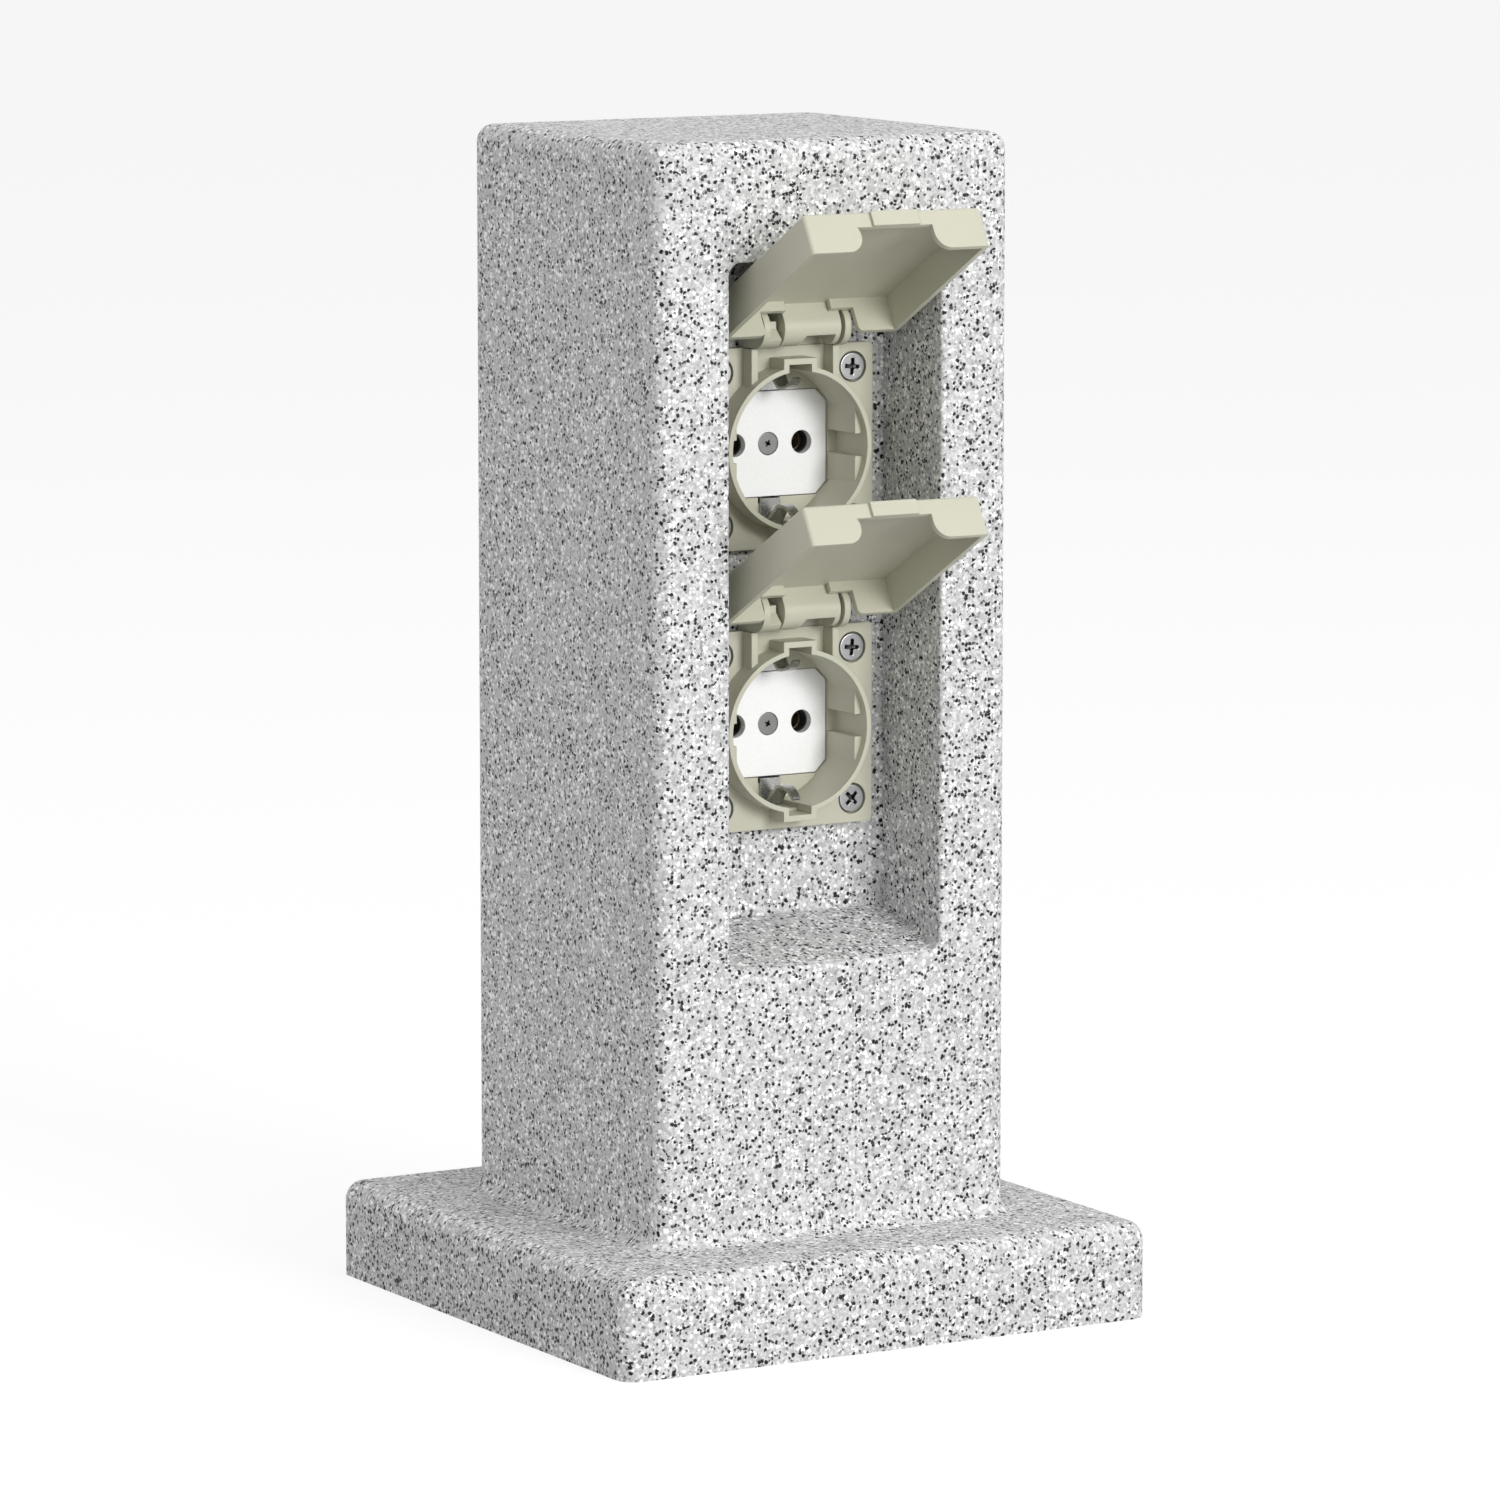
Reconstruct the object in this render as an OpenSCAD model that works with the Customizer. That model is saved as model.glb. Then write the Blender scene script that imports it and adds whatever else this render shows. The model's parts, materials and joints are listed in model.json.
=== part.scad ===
// Garden socket post: a stone-look column on a square base, with two lidded panel sockets in a front niche.
// Millimetres. X runs along the front, Y to the back and Z up. The origin is on the ground, under the middle
// of the base. The lids are drawn open, as they stand at rest.

/* [Post] */
// Width of the post
post_w = 100; // [92:1:120]
// Depth of the post
post_d = 95; // [90:1:120]
// Height from the ground to the top
post_h = 295; // [285:1:340]
// Radius of the post's outer edges
post_r = 4.5; // [2:0.5:8]
// Wall of the moulding
wall = 5; // [4:0.5:6]
// Fillet where the post meets the base
root_fillet = 4; // [2:0.5:6]

/* [Base] */
// Width of the base
base_w = 150; // [140:1:180]
// Depth of the base
base_d = 150; // [140:1:180]
// Height of the base
base_h = 24.5; // [20:0.5:32]
// Radius of the base's outer edges
base_r = 5; // [2:0.5:8]
// Thickness of the bottom cover
cover_t = 3; // [2:0.5:4]
// Gap between the bottom cover and the base wall
cover_gap = 0.3; // [0.2:0.1:1]
// Diameter of the cover's screw bosses
boss_d = 9; // [8:0.5:11]
// Distance of the bosses from the base's edges
boss_inset = 13; // [12:0.5:18]

/* [Niche] */
// Width of the niche
niche_w = 60; // [56:1:68]
// Depth of the niche
niche_depth = 28; // [26:0.5:32]
// Height of the lower socket's centre above the niche's front sill
sill_drop = 55; // [45:1:60]
// Rise of the sloping sill from front to back
sill_rise = 8; // [4:0.5:12]
// Corner radius of the niche, seen from the front
niche_r = 3.5; // [2:0.5:6]
// Rounding of the niche's front edge
niche_edge = 1; // [0.5:0.25:1.5]
// Wall of the niche
niche_wall = 4; // [3:0.5:5]
// Room between the open upper lid and the niche's ceiling
ceiling_gap = 0.8; // [0.6:0.1:4]

/* [Sockets] */
// Height of the lower socket's centre
low_socket_z = 147.5; // [142:0.5:155]
// Distance between the two socket centres
socket_pitch = 70; // [68:0.5:76]
// Width of the socket flange
flange_w = 49.5; // [47:0.5:52]
// Height of the socket flange
flange_h = 50; // [50:0.5:52]
// Thickness of the socket flange
flange_t = 3; // [2.5:0.25:4]
// Corner radius of the socket flange
flange_r = 1.5; // [0.5:0.25:3]
// Thickness of the gasket behind the flange
gasket_t = 0.8; // [0.5:0.1:1.5]
// Inner radius of the plug recess
recess_r = 19.2; // [18.8:0.1:19.8]
// Depth of the recess floor behind the flange's face
recess_deep = 8.6; // [8:0.2:10]
// Thickness of the recess floor
floor_t = 2; // [1.5:0.25:3]
// Wall of the collar round the recess
collar_t = 1.2; // [1:0.1:1.5]
// How far the collar stands proud of the flange
collar_proud = 6.9; // [5.5:0.1:7.5]
// Outer width of the collar's top and bottom boxes
tab_w = 9.4; // [9:0.1:10.4]
// Distance of those boxes' outer faces from the centre
tab_reach = 22.4; // [22:0.1:22.5]
// Wall of those boxes
tab_t = 1.5; // [1:0.1:1.6]
// Distance of the plug guides' flats from the centre
guide_flat = 16.9; // [16.9:0.1:17.5]
// How far the plug guides stand proud of the flange
guide_proud = 4.7; // [3:0.1:5.5]
// Width of the slot through each plug guide
guide_slot = 5.6; // [4:0.2:7]
// Radius of the body behind the flange
rear_r = 21.2; // [21:0.1:21.6]
// Gap between the body and its hole in the niche wall
hole_gap = 0.6; // [0.4:0.1:1]

/* [Hinge and lid] */
// Distance of the hinge axis in front of the flange's face
hinge_out = 5; // [4.8:0.1:5.2]
// Height of the hinge axis above the socket's centre
hinge_rise = 30; // [29.9:0.1:30.8]
// Sideways shift of the ears from the middle
hinge_shift = 0.4; // [0:0.1:0.6]
// Radius of the hinge ears
ear_r = 4.9; // [4.4:0.1:4.9]
// Thickness of a hinge ear
ear_t = 1.8; // [1.4:0.1:2]
// Half the distance between the ears' inner faces
ear_at = 10.6; // [10.6:0.1:11.2]
// Distance of the ribs' inner faces from the middle
rib_at = 10.7; // [10.4:0.1:11]
// How far the ribs under the ears stand proud of the flange
rib_proud = 4.4; // [3:0.1:4.6]
// Left end of the lid's barrel, from the middle
barrel_left = 6; // [5.8:0.1:6.2]
// Right end of the lid's barrel, from the middle
barrel_right = 10; // [9.8:0.1:10.4]
// Radius of the lid's barrel
barrel_r = 4.6; // [4.2:0.1:4.7]
// Wall of the lid's barrel
barrel_t = 1; // [0.8:0.1:1.2]
// Diameter of the hinge pin
hinge_pin_d = 2; // [1.6:0.1:2.2]
// Radial clearance of the lid on its pin
hinge_gap = 0.05; // [0.03:0.01:0.08]
// Width of the lid
lid_w = 49.6; // [46:0.1:50]
// Distance of the lid's hinge side from the socket's centre, lid shut
lid_top = 25.1; // [24.8:0.1:25.1]
// Distance of the lid's free side from the socket's centre, lid shut
lid_foot = 24.4; // [24.4:0.1:25.4]
// Outer depth of the lid
lid_deep = 10.4; // [10.2:0.1:11.2]
// Wall of the lid
lid_t = 1.5; // [1.2:0.1:1.5]
// Radius of the lid's outer edges
lid_r = 0.9; // [0.5:0.1:1.4]
// Gap between the shut lid and the flange
lid_gap = 0.4; // [0.3:0.1:0.8]
// Angle through which the lid opens
lid_open = 119; // [100:0.2:119.4]
// Width of the finger cut in the lid's free side
grip_w = 20.4; // [16:0.2:24]
// Depth of the finger cut
grip_deep = 6.3; // [4:0.1:6.6]
// Radius of the finger cut's corners
grip_r = 4.2; // [2:0.1:4.2]
// Width of the raised pad over the finger cut
pad_w = 13; // [8:0.5:16]
// Height of the raised pad
pad_proud = 0.9; // [0.4:0.1:1.2]

/* [Insert and contacts] */
// Width of the insert
insert_w = 33.1; // [32:0.1:33.2]
// Height of the insert
insert_h = 26.1; // [25.4:0.1:26.1]
// Corner chamfer of the insert
insert_cut = 3; // [2:0.25:4]
// Thickness of the insert's plate
insert_t = 3; // [2.5:0.1:3.2]
// Gap between the insert and its window
insert_gap = 0.2; // [0.2:0.05:0.4]
// Distance between the two pin holes
pin_pitch = 19; // [19:0.1:19.4]
// Diameter of a pin hole
pin_hole_d = 5.8; // [5.2:0.1:6]
// Width of the earth clip
clip_w = 5.6; // [5:0.1:6]
// Thickness of the earth clip
clip_t = 0.8; // [0.6:0.1:0.8]
// Bore of the contact sleeves
sleeve_bore = 5; // [4.8:0.1:5.2]
// Wall of the contact sleeves
sleeve_t = 0.9; // [0.7:0.1:1]
// Depth of the contact carrier's back, behind the flange's face
carrier_back = 36; // [34:0.5:40]

/* [Screws] */
// Distance between the flange screws, both ways
screw_pitch = 38; // [37.5:0.1:38.5]
// Diameter of a flange screw's head
screw_head_d = 6.9; // [6.6:0.1:7.2]
// Diameter of a flange screw's shank
screw_d = 3; // [2.6:0.1:3.4]
// Diameter of the insert screw's head
insert_head_d = 5.6; // [5:0.1:5.8]

/* [Wiring] */
// Diameter of an insulated wire
wire_d = 2.7; // [2.4:0.1:3]
// Diameter of a wire's bare end
core_d = 1.5; // [1.2:0.1:1.6]
// Sideways distance of the two wires in one terminal
wire_pitch = 3.4; // [3.2:0.1:3.6]
// Distance of the jumper wires behind the carrier
jumper_out = 11; // [9:0.5:12]
// Height of the terminal strip's underside
strip_z = 70; // [66:1:90]
// Height of the terminal strip
strip_h = 18; // [16:0.5:22]
// Depth of the terminal strip
strip_d = 14; // [13:0.5:15]

/* [Cable gland] */
// Height of the gland above the ground
gland_z = 45; // [42:1:50]
// Thread diameter of the gland
gland_d = 20; // [18:0.5:22]
// Width across the gland's flats
gland_flats = 24; // [23:0.5:26]
// Bore of the gland's seal
seal_bore = 9.5; // [7:0.5:10]

/* [Hidden] */
$fn = 64;
// Overrun of a cut past the face that it opens
over = 1;
// Clearance between pieces that sit still against each other
seat_gap = 0.2;
// Radial clearance of a shank in its threaded hole
thread_gap = 0.05;

stone = "gainsboro";
grey_plastic = "darkkhaki";
white_plastic = "white";
steel = "silver";
brass = "goldenrod";

high_socket_z = low_socket_z + socket_pitch;
niche_back = niche_depth - post_d / 2;
flange_y = niche_back - gasket_t - flange_t;
wall_face = flange_t + gasket_t;
hole_r = rear_r + hole_gap;
pilot_d = screw_d + 2 * thread_gap;

// The lid, in the socket's own frame: y 0 is the flange's face, z 0 the socket's centre
hinge_y = -hinge_out;
lid_front = -lid_gap - lid_deep;
lid_inside = lid_front + lid_t;
function opened(p) = let(dy = p[0] - hinge_y, dz = p[1] - hinge_rise)
    [hinge_y + dy * cos(lid_open) + dz * sin(lid_open), hinge_rise - dy * sin(lid_open) + dz * cos(lid_open)];
lid_heel = opened([lid_front, lid_top]);
mouth_y = -post_d / 2 - flange_y;
lid_at_mouth = lid_heel[1] + (lid_heel[0] - mouth_y) * tan(lid_open - 90);
niche_top = high_socket_z + lid_at_mouth + ceiling_gap;
sill_z = low_socket_z - sill_drop;

// Opening in the lid's hinge side: the notches that clear the ears and ribs, and the middle part
notch_gap = 0.4;
notch_half = max(ear_at + hinge_shift, rib_at) + ear_t + notch_gap;
notch_y = hinge_y - 1.8;
notch_r = 1.4;
heel_left = barrel_left - 0.2;
heel_right = barrel_right - 3;
// The hinge plate's front face lies this far behind the flange's
bridge_in = 0.6;
// The barrel's end walls, and the cut below it: its widths at the top and foot, and its depth under the axis
end_ring = 1.4;
barrel_cut_top = 8.2;
barrel_cut_foot = 10.4;
barrel_cut_z = -1.9;
// Lid spring: radii of its wire and coil, its turns and pitch, and the angle of its tail round the pin
spring_wire_r = 0.4;
coil_r = hinge_pin_d / 2 + 0.55;
spring_turns = 4;
spring_pitch = 0.95;
tail_turn = 25;
tail_spare = 22;
// Brace beside the left ear: its widths at the pin and at its foot, how far it stands before the pin's
// axis and above it, and the height of the stub on top
brace_top = 3.2;
brace_foot = 3.6;
brace_front = 1.5;
brace_rise = 0.4;
stub_rise = 1.8;

floor_back = recess_deep + floor_t;
// Skirt round the back of the socket's floor, which holds the contact carrier
skirt = 4.4;
skirt_wall = 1.3;
insert_face = recess_deep + 0.3;
insert_back = insert_face + insert_t;
window_w = insert_w + 2 * insert_gap;
window_h = insert_h + 2 * insert_gap;
clip_leg = window_h / 2 + clip_t / 2 + seat_gap;
clip_slot_w = clip_w + 0.6;
clip_y = insert_back + 1.1 + clip_t / 2;
clip_wall_z = recess_r + clip_t / 2;
clip_floor_y = recess_deep - clip_t / 2 - 0.05;
// The clip's bow: its crown, the radii behind and before the crown, and the angles they turn through
bow_y = 0.6;
bow_z = 14.6;
bow_back_r = 2;
bow_back_turn = 45;
bow_front_r = 7;
bow_front_turn = 52;
clip_waist_y = 5.5;
clip_waist_w = 4.4;
clip_tip_w = 1.9;
carrier_front = clip_y + clip_t / 2 + seat_gap;
sleeve_r = sleeve_bore / 2 + sleeve_t;
terminal_w = 7.4;
terminal_h = 7.6;
terminal_len = 8;
terminal_y = carrier_back - terminal_len - 0.5;
terminal_screw_y = terminal_y + terminal_len / 2;
terminal_screw_d = 2.6;
terminal_head_d = 4.4;
terminal_head_t = 1.6;
core_hole_r = core_d / 2 + 0.2;
earth_terminal_h = 5.2;
earth_terminal_z = -clip_leg - clip_t / 2 - earth_terminal_h / 2;

pole_x = [-pin_pitch / 2 - wire_pitch / 2, wire_pitch / 2, pin_pitch / 2 + wire_pitch / 2];
strip_y = post_d / 2 - wall - strip_d;
pole_y = strip_y + strip_d / 2;
strip_w = 2 * pole_x[2] + 10;
pole_r = 2.6;
pole_bore_r = core_d / 2 + 0.65;
clamp_d = 2.4;
clamp_z = [strip_z + strip_h * 0.25, strip_z + strip_h * 0.75];
fixing_x = [(pole_x[0] + pole_x[1]) / 2, (pole_x[1] + pole_x[2]) / 2];
fixing_d = 2.4;
fixing_head_d = 3.6;

boss_x = base_w / 2 - boss_inset;
boss_y = base_d / 2 - boss_inset;
cover_screw_d = 3.4;
cover_head_d = 6.8;
cover_screw_len = 12;
cover_hole_spare = 1;
fixing_hole_deep = 3.5;

// Flange screws: sunk face, rim and cone of the head, and what stands out behind the niche wall
screw_sunk = 0.1;
screw_rim = 0.6;
screw_cone = 1.8;
screw_tail = 2;
screw_gap = 0.3;
head_gap = 0.45;
seat_deep = 1.2;
cross_w = 0.9;
cross_deep = 1.4;
cross_turn = [20, 64, 45, 3];
gasket_inset = 2;
gasket_hole_gap = 0.5;

gland_hex_t = 6;
gland_stub = 8;
gland_inside = 12;
locknut_t = 5;
seal_wall = 2.6;
gland_cap_len = 14;
gland_dome = 2;
gland_bore_gap = 1.2;

// A flat outline in x and z, given thickness from y0 towards the back
module upright(y0, t) {
    translate([0, y0 + t, 0]) rotate([90, 0, 0]) linear_extrude(t) children();
}

// A flat outline in y and z, given thickness from x0 towards the right
module sideways(x0, t) {
    translate([x0, 0, 0]) rotate([90, 0, 90]) linear_extrude(t) children();
}

// A cylinder along y from y0
module rod_y(y0, len, r, x = 0, z = 0) {
    translate([x, y0, z]) rotate([-90, 0, 0]) cylinder(r = r, h = len);
}

// A cylinder along x from x0
module rod_x(x0, len, r) {
    translate([x0, 0, 0]) rotate([0, 90, 0]) cylinder(r = r, h = len);
}

// A rectangle centred on x and y, with round corners
module round_rect(w, h, r) {
    square([w - 2 * r, h], center = true);
    square([w, h - 2 * r], center = true);
    for (sx = [-1, 1], sy = [-1, 1]) translate([sx * (w / 2 - r), sy * (h / 2 - r)]) circle(r);
}

// A block that stands on z 0, with its upright and top edges rounded
module soft_block(w, d, h, r) {
    x = w / 2 - r;
    y = d / 2 - r;
    linear_extrude(h - r) round_rect(w, d, r);
    translate([-x, -y, 0]) cube([2 * x, 2 * y, h]);
    for (sx = [-1, 1], sy = [-1, 1]) translate([sx * x, sy * y, h - r]) sphere(r);
    for (sy = [-1, 1]) translate([0, sy * y, h - r]) rod_x(-x, 2 * x, r);
    for (sx = [-1, 1]) rod_y(-y, 2 * y, r, sx * x, h - r);
}

// The corner between two square faces, left over when a round of radius r lies in it
module corner_waste(r) {
    difference() {
        square(r);
        translate([r, r]) circle(r);
    }
}

// What a round edge of radius r leaves over, with some overrun on both faces
module edge_waste(r) {
    difference() {
        translate([-over, -over]) square(r + over);
        translate([r, r]) circle(r);
    }
}

// A hex prism along z
module hex(flats, h) {
    cylinder(r = flats / 2 / cos(30), h = h, $fn = 6);
}

// A strip of even thickness along a line of points
function across(p, q) = let(d = q - p) [-d[1], d[0]] / norm(d);
function beside(pts, off) = [
    for (i = [0 : len(pts) - 1])
        let(
            before = i > 0 ? across(pts[i - 1], pts[i]) : across(pts[0], pts[1]),
            after = i < len(pts) - 1 ? across(pts[i], pts[i + 1]) : before,
            m = before + after
        ) pts[i] + m * 2 * off / (m * m)
];
module strip(pts, t) {
    far = beside(pts, -t / 2);
    polygon(concat(beside(pts, t / 2), [for (i = [len(far) - 1 : -1 : 0]) far[i]]));
}

// A wire that leaves y0 at height z0, bends down at y1 and runs to height z1. Bends are quarter rings.
module wire_down(x, y0, z0, y1, z1, bend) {
    rod_y(y0, y1 - bend - y0, wire_d / 2, x, z0);
    translate([x, y1 - bend, z0 - bend]) rotate([90, 0, 90])
        rotate_extrude(angle = 90) translate([bend, 0]) circle(d = wire_d);
    translate([x, y1, z1]) cylinder(d = wire_d, h = z0 - bend - z1);
}

module at_socket(z) {
    translate([0, flange_y, z]) children();
}

// Post, base and niche

module root_fillets() {
    x = post_w / 2 - post_r;
    y = post_d / 2 - post_r;
    translate([0, 0, base_h]) {
        for (sx = [-1, 1], sy = [-1, 1]) translate([sx * x, sy * y, 0])
            rotate_extrude() translate([post_r, 0]) corner_waste(root_fillet);
        for (a = [0, 180]) rotate(a) {
            translate([0, -post_d / 2, 0]) rotate([0, 0, -90]) rotate([90, 0, 0])
                translate([0, 0, -x]) linear_extrude(2 * x) corner_waste(root_fillet);
            translate([post_w / 2, 0, 0]) rotate([90, 0, 0])
                translate([0, 0, -y]) linear_extrude(2 * y) corner_waste(root_fillet);
        }
    }
}

module niche_space() {
    front = -post_d / 2;
    h = niche_top - sill_z;
    slope = sill_rise / niche_depth;
    intersection() {
        upright(front - over, niche_depth + over) translate([0, sill_z + h / 2])
            round_rect(niche_w, h, niche_r);
        sideways(-niche_w / 2 - over, niche_w + 2 * over) polygon([
            [front - over, sill_z - over * slope],
            [niche_back, sill_z + sill_rise],
            [niche_back, niche_top + over],
            [front - over, niche_top + over]
        ]);
    }
}

// Rounds the niche's front edge
module niche_mouth() {
    h = niche_top - sill_z;
    x = niche_w / 2;
    translate([0, -post_d / 2, sill_z + h / 2]) {
        for (sx = [0, 1]) mirror([sx, 0, 0]) translate([x, 0, niche_r - h / 2])
            linear_extrude(h - 2 * niche_r) edge_waste(niche_edge);
        for (sz = [0, 1]) mirror([0, 0, sz]) translate([niche_r - x, 0, h / 2]) rotate([90, 0, 90])
            linear_extrude(niche_w - 2 * niche_r) edge_waste(niche_edge);
        for (sx = [0, 1], sz = [0, 1]) mirror([sx, 0, 0]) mirror([0, 0, sz])
            translate([x - niche_r, 0, h / 2 - niche_r]) rotate([-90, 0, 0]) rotate(-90)
                rotate_extrude(angle = 90) translate([niche_r, 0]) edge_waste(niche_edge);
    }
}

module at_bosses() {
    for (sx = [-1, 1], sy = [-1, 1]) translate([sx * boss_x, sy * boss_y, 0]) children();
}

module at_flange_screws() {
    for (sx = [-1, 1], sz = [-1, 1]) translate([sx * screw_pitch / 2, 0, sz * screw_pitch / 2]) children();
}

module column_shell() {
    inner_w = post_w - 2 * wall;
    inner_d = post_d - 2 * wall;
    tub_w = niche_w + 2 * niche_wall;
    tub_z = sill_z - niche_wall;
    color(stone) difference() {
        union() {
            difference() {
                union() {
                    soft_block(post_w, post_d, post_h, post_r);
                    soft_block(base_w, base_d, base_h, base_r);
                    root_fillets();
                }
                translate([-inner_w / 2, -inner_d / 2, -over]) cube([inner_w, inner_d, post_h - wall + over]);
                translate([wall - base_w / 2, wall - base_d / 2, -over])
                    cube([base_w - 2 * wall, base_d - 2 * wall, base_h - wall + over]);
            }
            translate([-tub_w / 2, wall / 2 - post_d / 2, tub_z])
                cube([tub_w, niche_depth + niche_wall - wall / 2, niche_top + niche_wall - tub_z]);
            translate([0, 0, cover_t]) at_bosses() cylinder(d = boss_d, h = base_h - wall / 2 - cover_t);
        }
        niche_space();
        niche_mouth();
        for (z = [low_socket_z, high_socket_z]) at_socket(z) {
            rod_y(wall_face - over, niche_wall + 2 * over, hole_r);
            at_flange_screws() rod_y(wall_face - over, niche_wall + 2 * over, pilot_d / 2);
        }
        at_bosses() cylinder(d = cover_screw_d + 2 * thread_gap, h = cover_screw_len + cover_hole_spare);
        rod_y(post_d / 2 - wall - over, wall + 2 * over, gland_d / 2 + seat_gap, 0, gland_z);
        for (x = fixing_x)
            rod_y(post_d / 2 - wall - over, over + fixing_hole_deep, fixing_d / 2 + thread_gap,
                x, strip_z + strip_h / 2);
    }
}

module base_cover() {
    gap = 2 * (wall + cover_gap);
    color("dimgray") difference() {
        translate([0, 0, cover_t / 2]) cube([base_w - gap, base_d - gap, cover_t], center = true);
        at_bosses() {
            translate([0, 0, -over]) cylinder(d = cover_screw_d + 0.6, h = cover_t + 2 * over);
            translate([0, 0, -0.01]) cylinder(d1 = cover_head_d + 0.6, d2 = cover_screw_d + 0.6, h = 2.1);
        }
    }
}

module base_cover_screws() {
    color(steel) at_bosses() difference() {
        union() {
            translate([0, 0, 0.3]) cylinder(d1 = cover_head_d, d2 = cover_screw_d, h = 1.9);
            translate([0, 0, 2]) cylinder(d = cover_screw_d, h = cover_screw_len - 2);
        }
        for (a = [0, 90]) rotate(a) translate([-2.1, -0.4, 0]) cube([4.2, 0.8, 1.3]);
    }
}

// Cable gland in the post's back, along y

module at_gland() {
    translate([0, post_d / 2, gland_z]) rotate([-90, 0, 0]) children();
}

module gland_body() {
    seat_r = seal_bore / 2 + seal_wall + seat_gap;
    color("dimgray") at_gland() difference() {
        union() {
            translate([0, 0, -gland_inside]) cylinder(d = gland_d, h = gland_inside + over);
            hex(gland_flats, gland_hex_t);
            cylinder(d = gland_d - 2, h = gland_hex_t + gland_stub);
        }
        translate([0, 0, -gland_inside - over]) cylinder(
            r = seal_bore / 2 + gland_bore_gap,
            h = gland_inside + gland_hex_t + gland_stub + 2 * over
        );
        translate([0, 0, gland_hex_t]) cylinder(r = seat_r, h = gland_stub + over);
    }
}

module gland_locknut() {
    color("dimgray") at_gland() translate([0, 0, -wall - locknut_t]) difference() {
        hex(gland_flats, locknut_t);
        translate([0, 0, -over]) cylinder(r = gland_d / 2 + thread_gap, h = locknut_t + 2 * over);
    }
}

module gland_seal() {
    color("black") at_gland() translate([0, 0, gland_hex_t + seat_gap]) difference() {
        cylinder(r = seal_bore / 2 + seal_wall, h = gland_stub + 1);
        translate([0, 0, -over]) cylinder(r = seal_bore / 2, h = gland_stub + 1 + 2 * over);
    }
}

module gland_cap() {
    start = gland_hex_t + 3 * seat_gap;
    color("dimgray") at_gland() translate([0, 0, start]) difference() {
        intersection() {
            hex(gland_flats - 1, gland_cap_len);
            union() {
                cylinder(r = gland_flats / 2 + 1, h = gland_cap_len - gland_dome);
                translate([0, 0, gland_cap_len - gland_dome])
                    cylinder(r1 = gland_flats / 2 + 1, r2 = gland_flats / 2 - 1.5, h = gland_dome);
            }
        }
        translate([0, 0, -over]) cylinder(r = gland_d / 2 - 1 + thread_gap, h = gland_cap_len - 3 + over);
        cylinder(r = seal_bore / 2 + 0.6, h = gland_cap_len + over);
    }
}

// Terminal strip on the post's inner back wall

module terminal_strip() {
    color("ivory") difference() {
        translate([-strip_w / 2, strip_y, strip_z]) cube([strip_w, strip_d, strip_h]);
        for (x = pole_x) {
            translate([x, pole_y, strip_z - over]) cylinder(r = pole_r + 0.1, h = strip_h + 2 * over);
            for (z = clamp_z) rod_y(strip_y - over, strip_d / 2 + over, clamp_d / 2 + 0.7, x, z);
        }
        for (x = fixing_x) {
            rod_y(strip_y - over, strip_d + 2 * over, fixing_d / 2 + 0.1, x, strip_z + strip_h / 2);
            rod_y(strip_y - over, 3 + over, fixing_head_d / 2 + 0.2, x, strip_z + strip_h / 2);
        }
    }
}

module strip_sleeves() {
    color(brass) for (x = pole_x) difference() {
        translate([x, pole_y, strip_z + 1]) cylinder(r = pole_r, h = strip_h - 2);
        translate([x, pole_y, strip_z]) cylinder(r = pole_bore_r, h = strip_h);
        for (z = clamp_z) rod_y(strip_y, strip_d / 2, clamp_d / 2 + thread_gap, x, z);
    }
}

module strip_clamp_screws() {
    tip = pole_y - core_d / 2 - 0.15;
    color(steel) for (x = pole_x, z = clamp_z) difference() {
        union() {
            rod_y(strip_y + 0.8, tip - strip_y - 0.8, clamp_d / 2, x, z);
            rod_y(strip_y + 0.8, 1.4, clamp_d / 2 + 0.6, x, z);
        }
        translate([x - 2, strip_y, z - 0.25]) cube([4, 1.4, 0.5]);
    }
}

module strip_fixing_screws() {
    z = strip_z + strip_h / 2;
    color(steel) for (x = fixing_x) difference() {
        union() {
            rod_y(strip_y + 1.2, strip_d - 1.2 + 3, fixing_d / 2, x, z);
            rod_y(strip_y + 1.2, 1.7, fixing_head_d / 2, x, z);
        }
        translate([x - 2, strip_y, z - 0.25]) cube([4, 2, 0.5]);
    }
}

// Wires. One pole's jumper joins the two sockets, and its feed runs down to the strip.
module pole_wires(tint, jumper_x, feed_x, dz) {
    start = flange_y + carrier_back + 0.4;
    tip = flange_y + terminal_y + 2.5;
    bend = 3.5;
    jumper_y = flange_y + carrier_back + jumper_out;
    strip_top = strip_z + strip_h;
    half = socket_pitch / 2;
    color(tint) translate([0, 0, dz]) {
        translate([0, 0, low_socket_z + half]) for (up = [0, 1]) mirror([0, 0, up]) {
            wire_down(jumper_x, start, half, jumper_y, 0, bend);
            rod_y(tip, start - tip + over, core_d / 2, jumper_x, half);
        }
        wire_down(feed_x, start, low_socket_z, pole_y, strip_top + 0.3 - dz, bend);
        rod_y(tip, start - tip + over, core_d / 2, feed_x, low_socket_z);
        translate([feed_x, pole_y, strip_z + strip_h * 0.4 - dz])
            cylinder(d = core_d, h = strip_h * 0.6 + over);
    }
}

module live_wires() {
    pole_wires("saddlebrown", (wire_pitch - pin_pitch) / 2, pole_x[0], 0);
}

module neutral_wires() {
    pole_wires("royalblue", (pin_pitch - wire_pitch) / 2, pole_x[2], 0);
}

module earth_wires() {
    pole_wires("yellowgreen", -wire_pitch / 2, pole_x[1], earth_terminal_z);
}

// Panel socket, in its own frame

module ear(x) {
    sideways(x, ear_t) {
        translate([hinge_y, hinge_rise]) circle(ear_r);
        translate([hinge_y, hinge_rise - ear_r]) square([flange_t + hinge_out, 2 * ear_r]);
        translate([0, flange_h / 2 - over]) square([flange_t, hinge_rise + ear_r + over - flange_h / 2]);
    }
}

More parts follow.
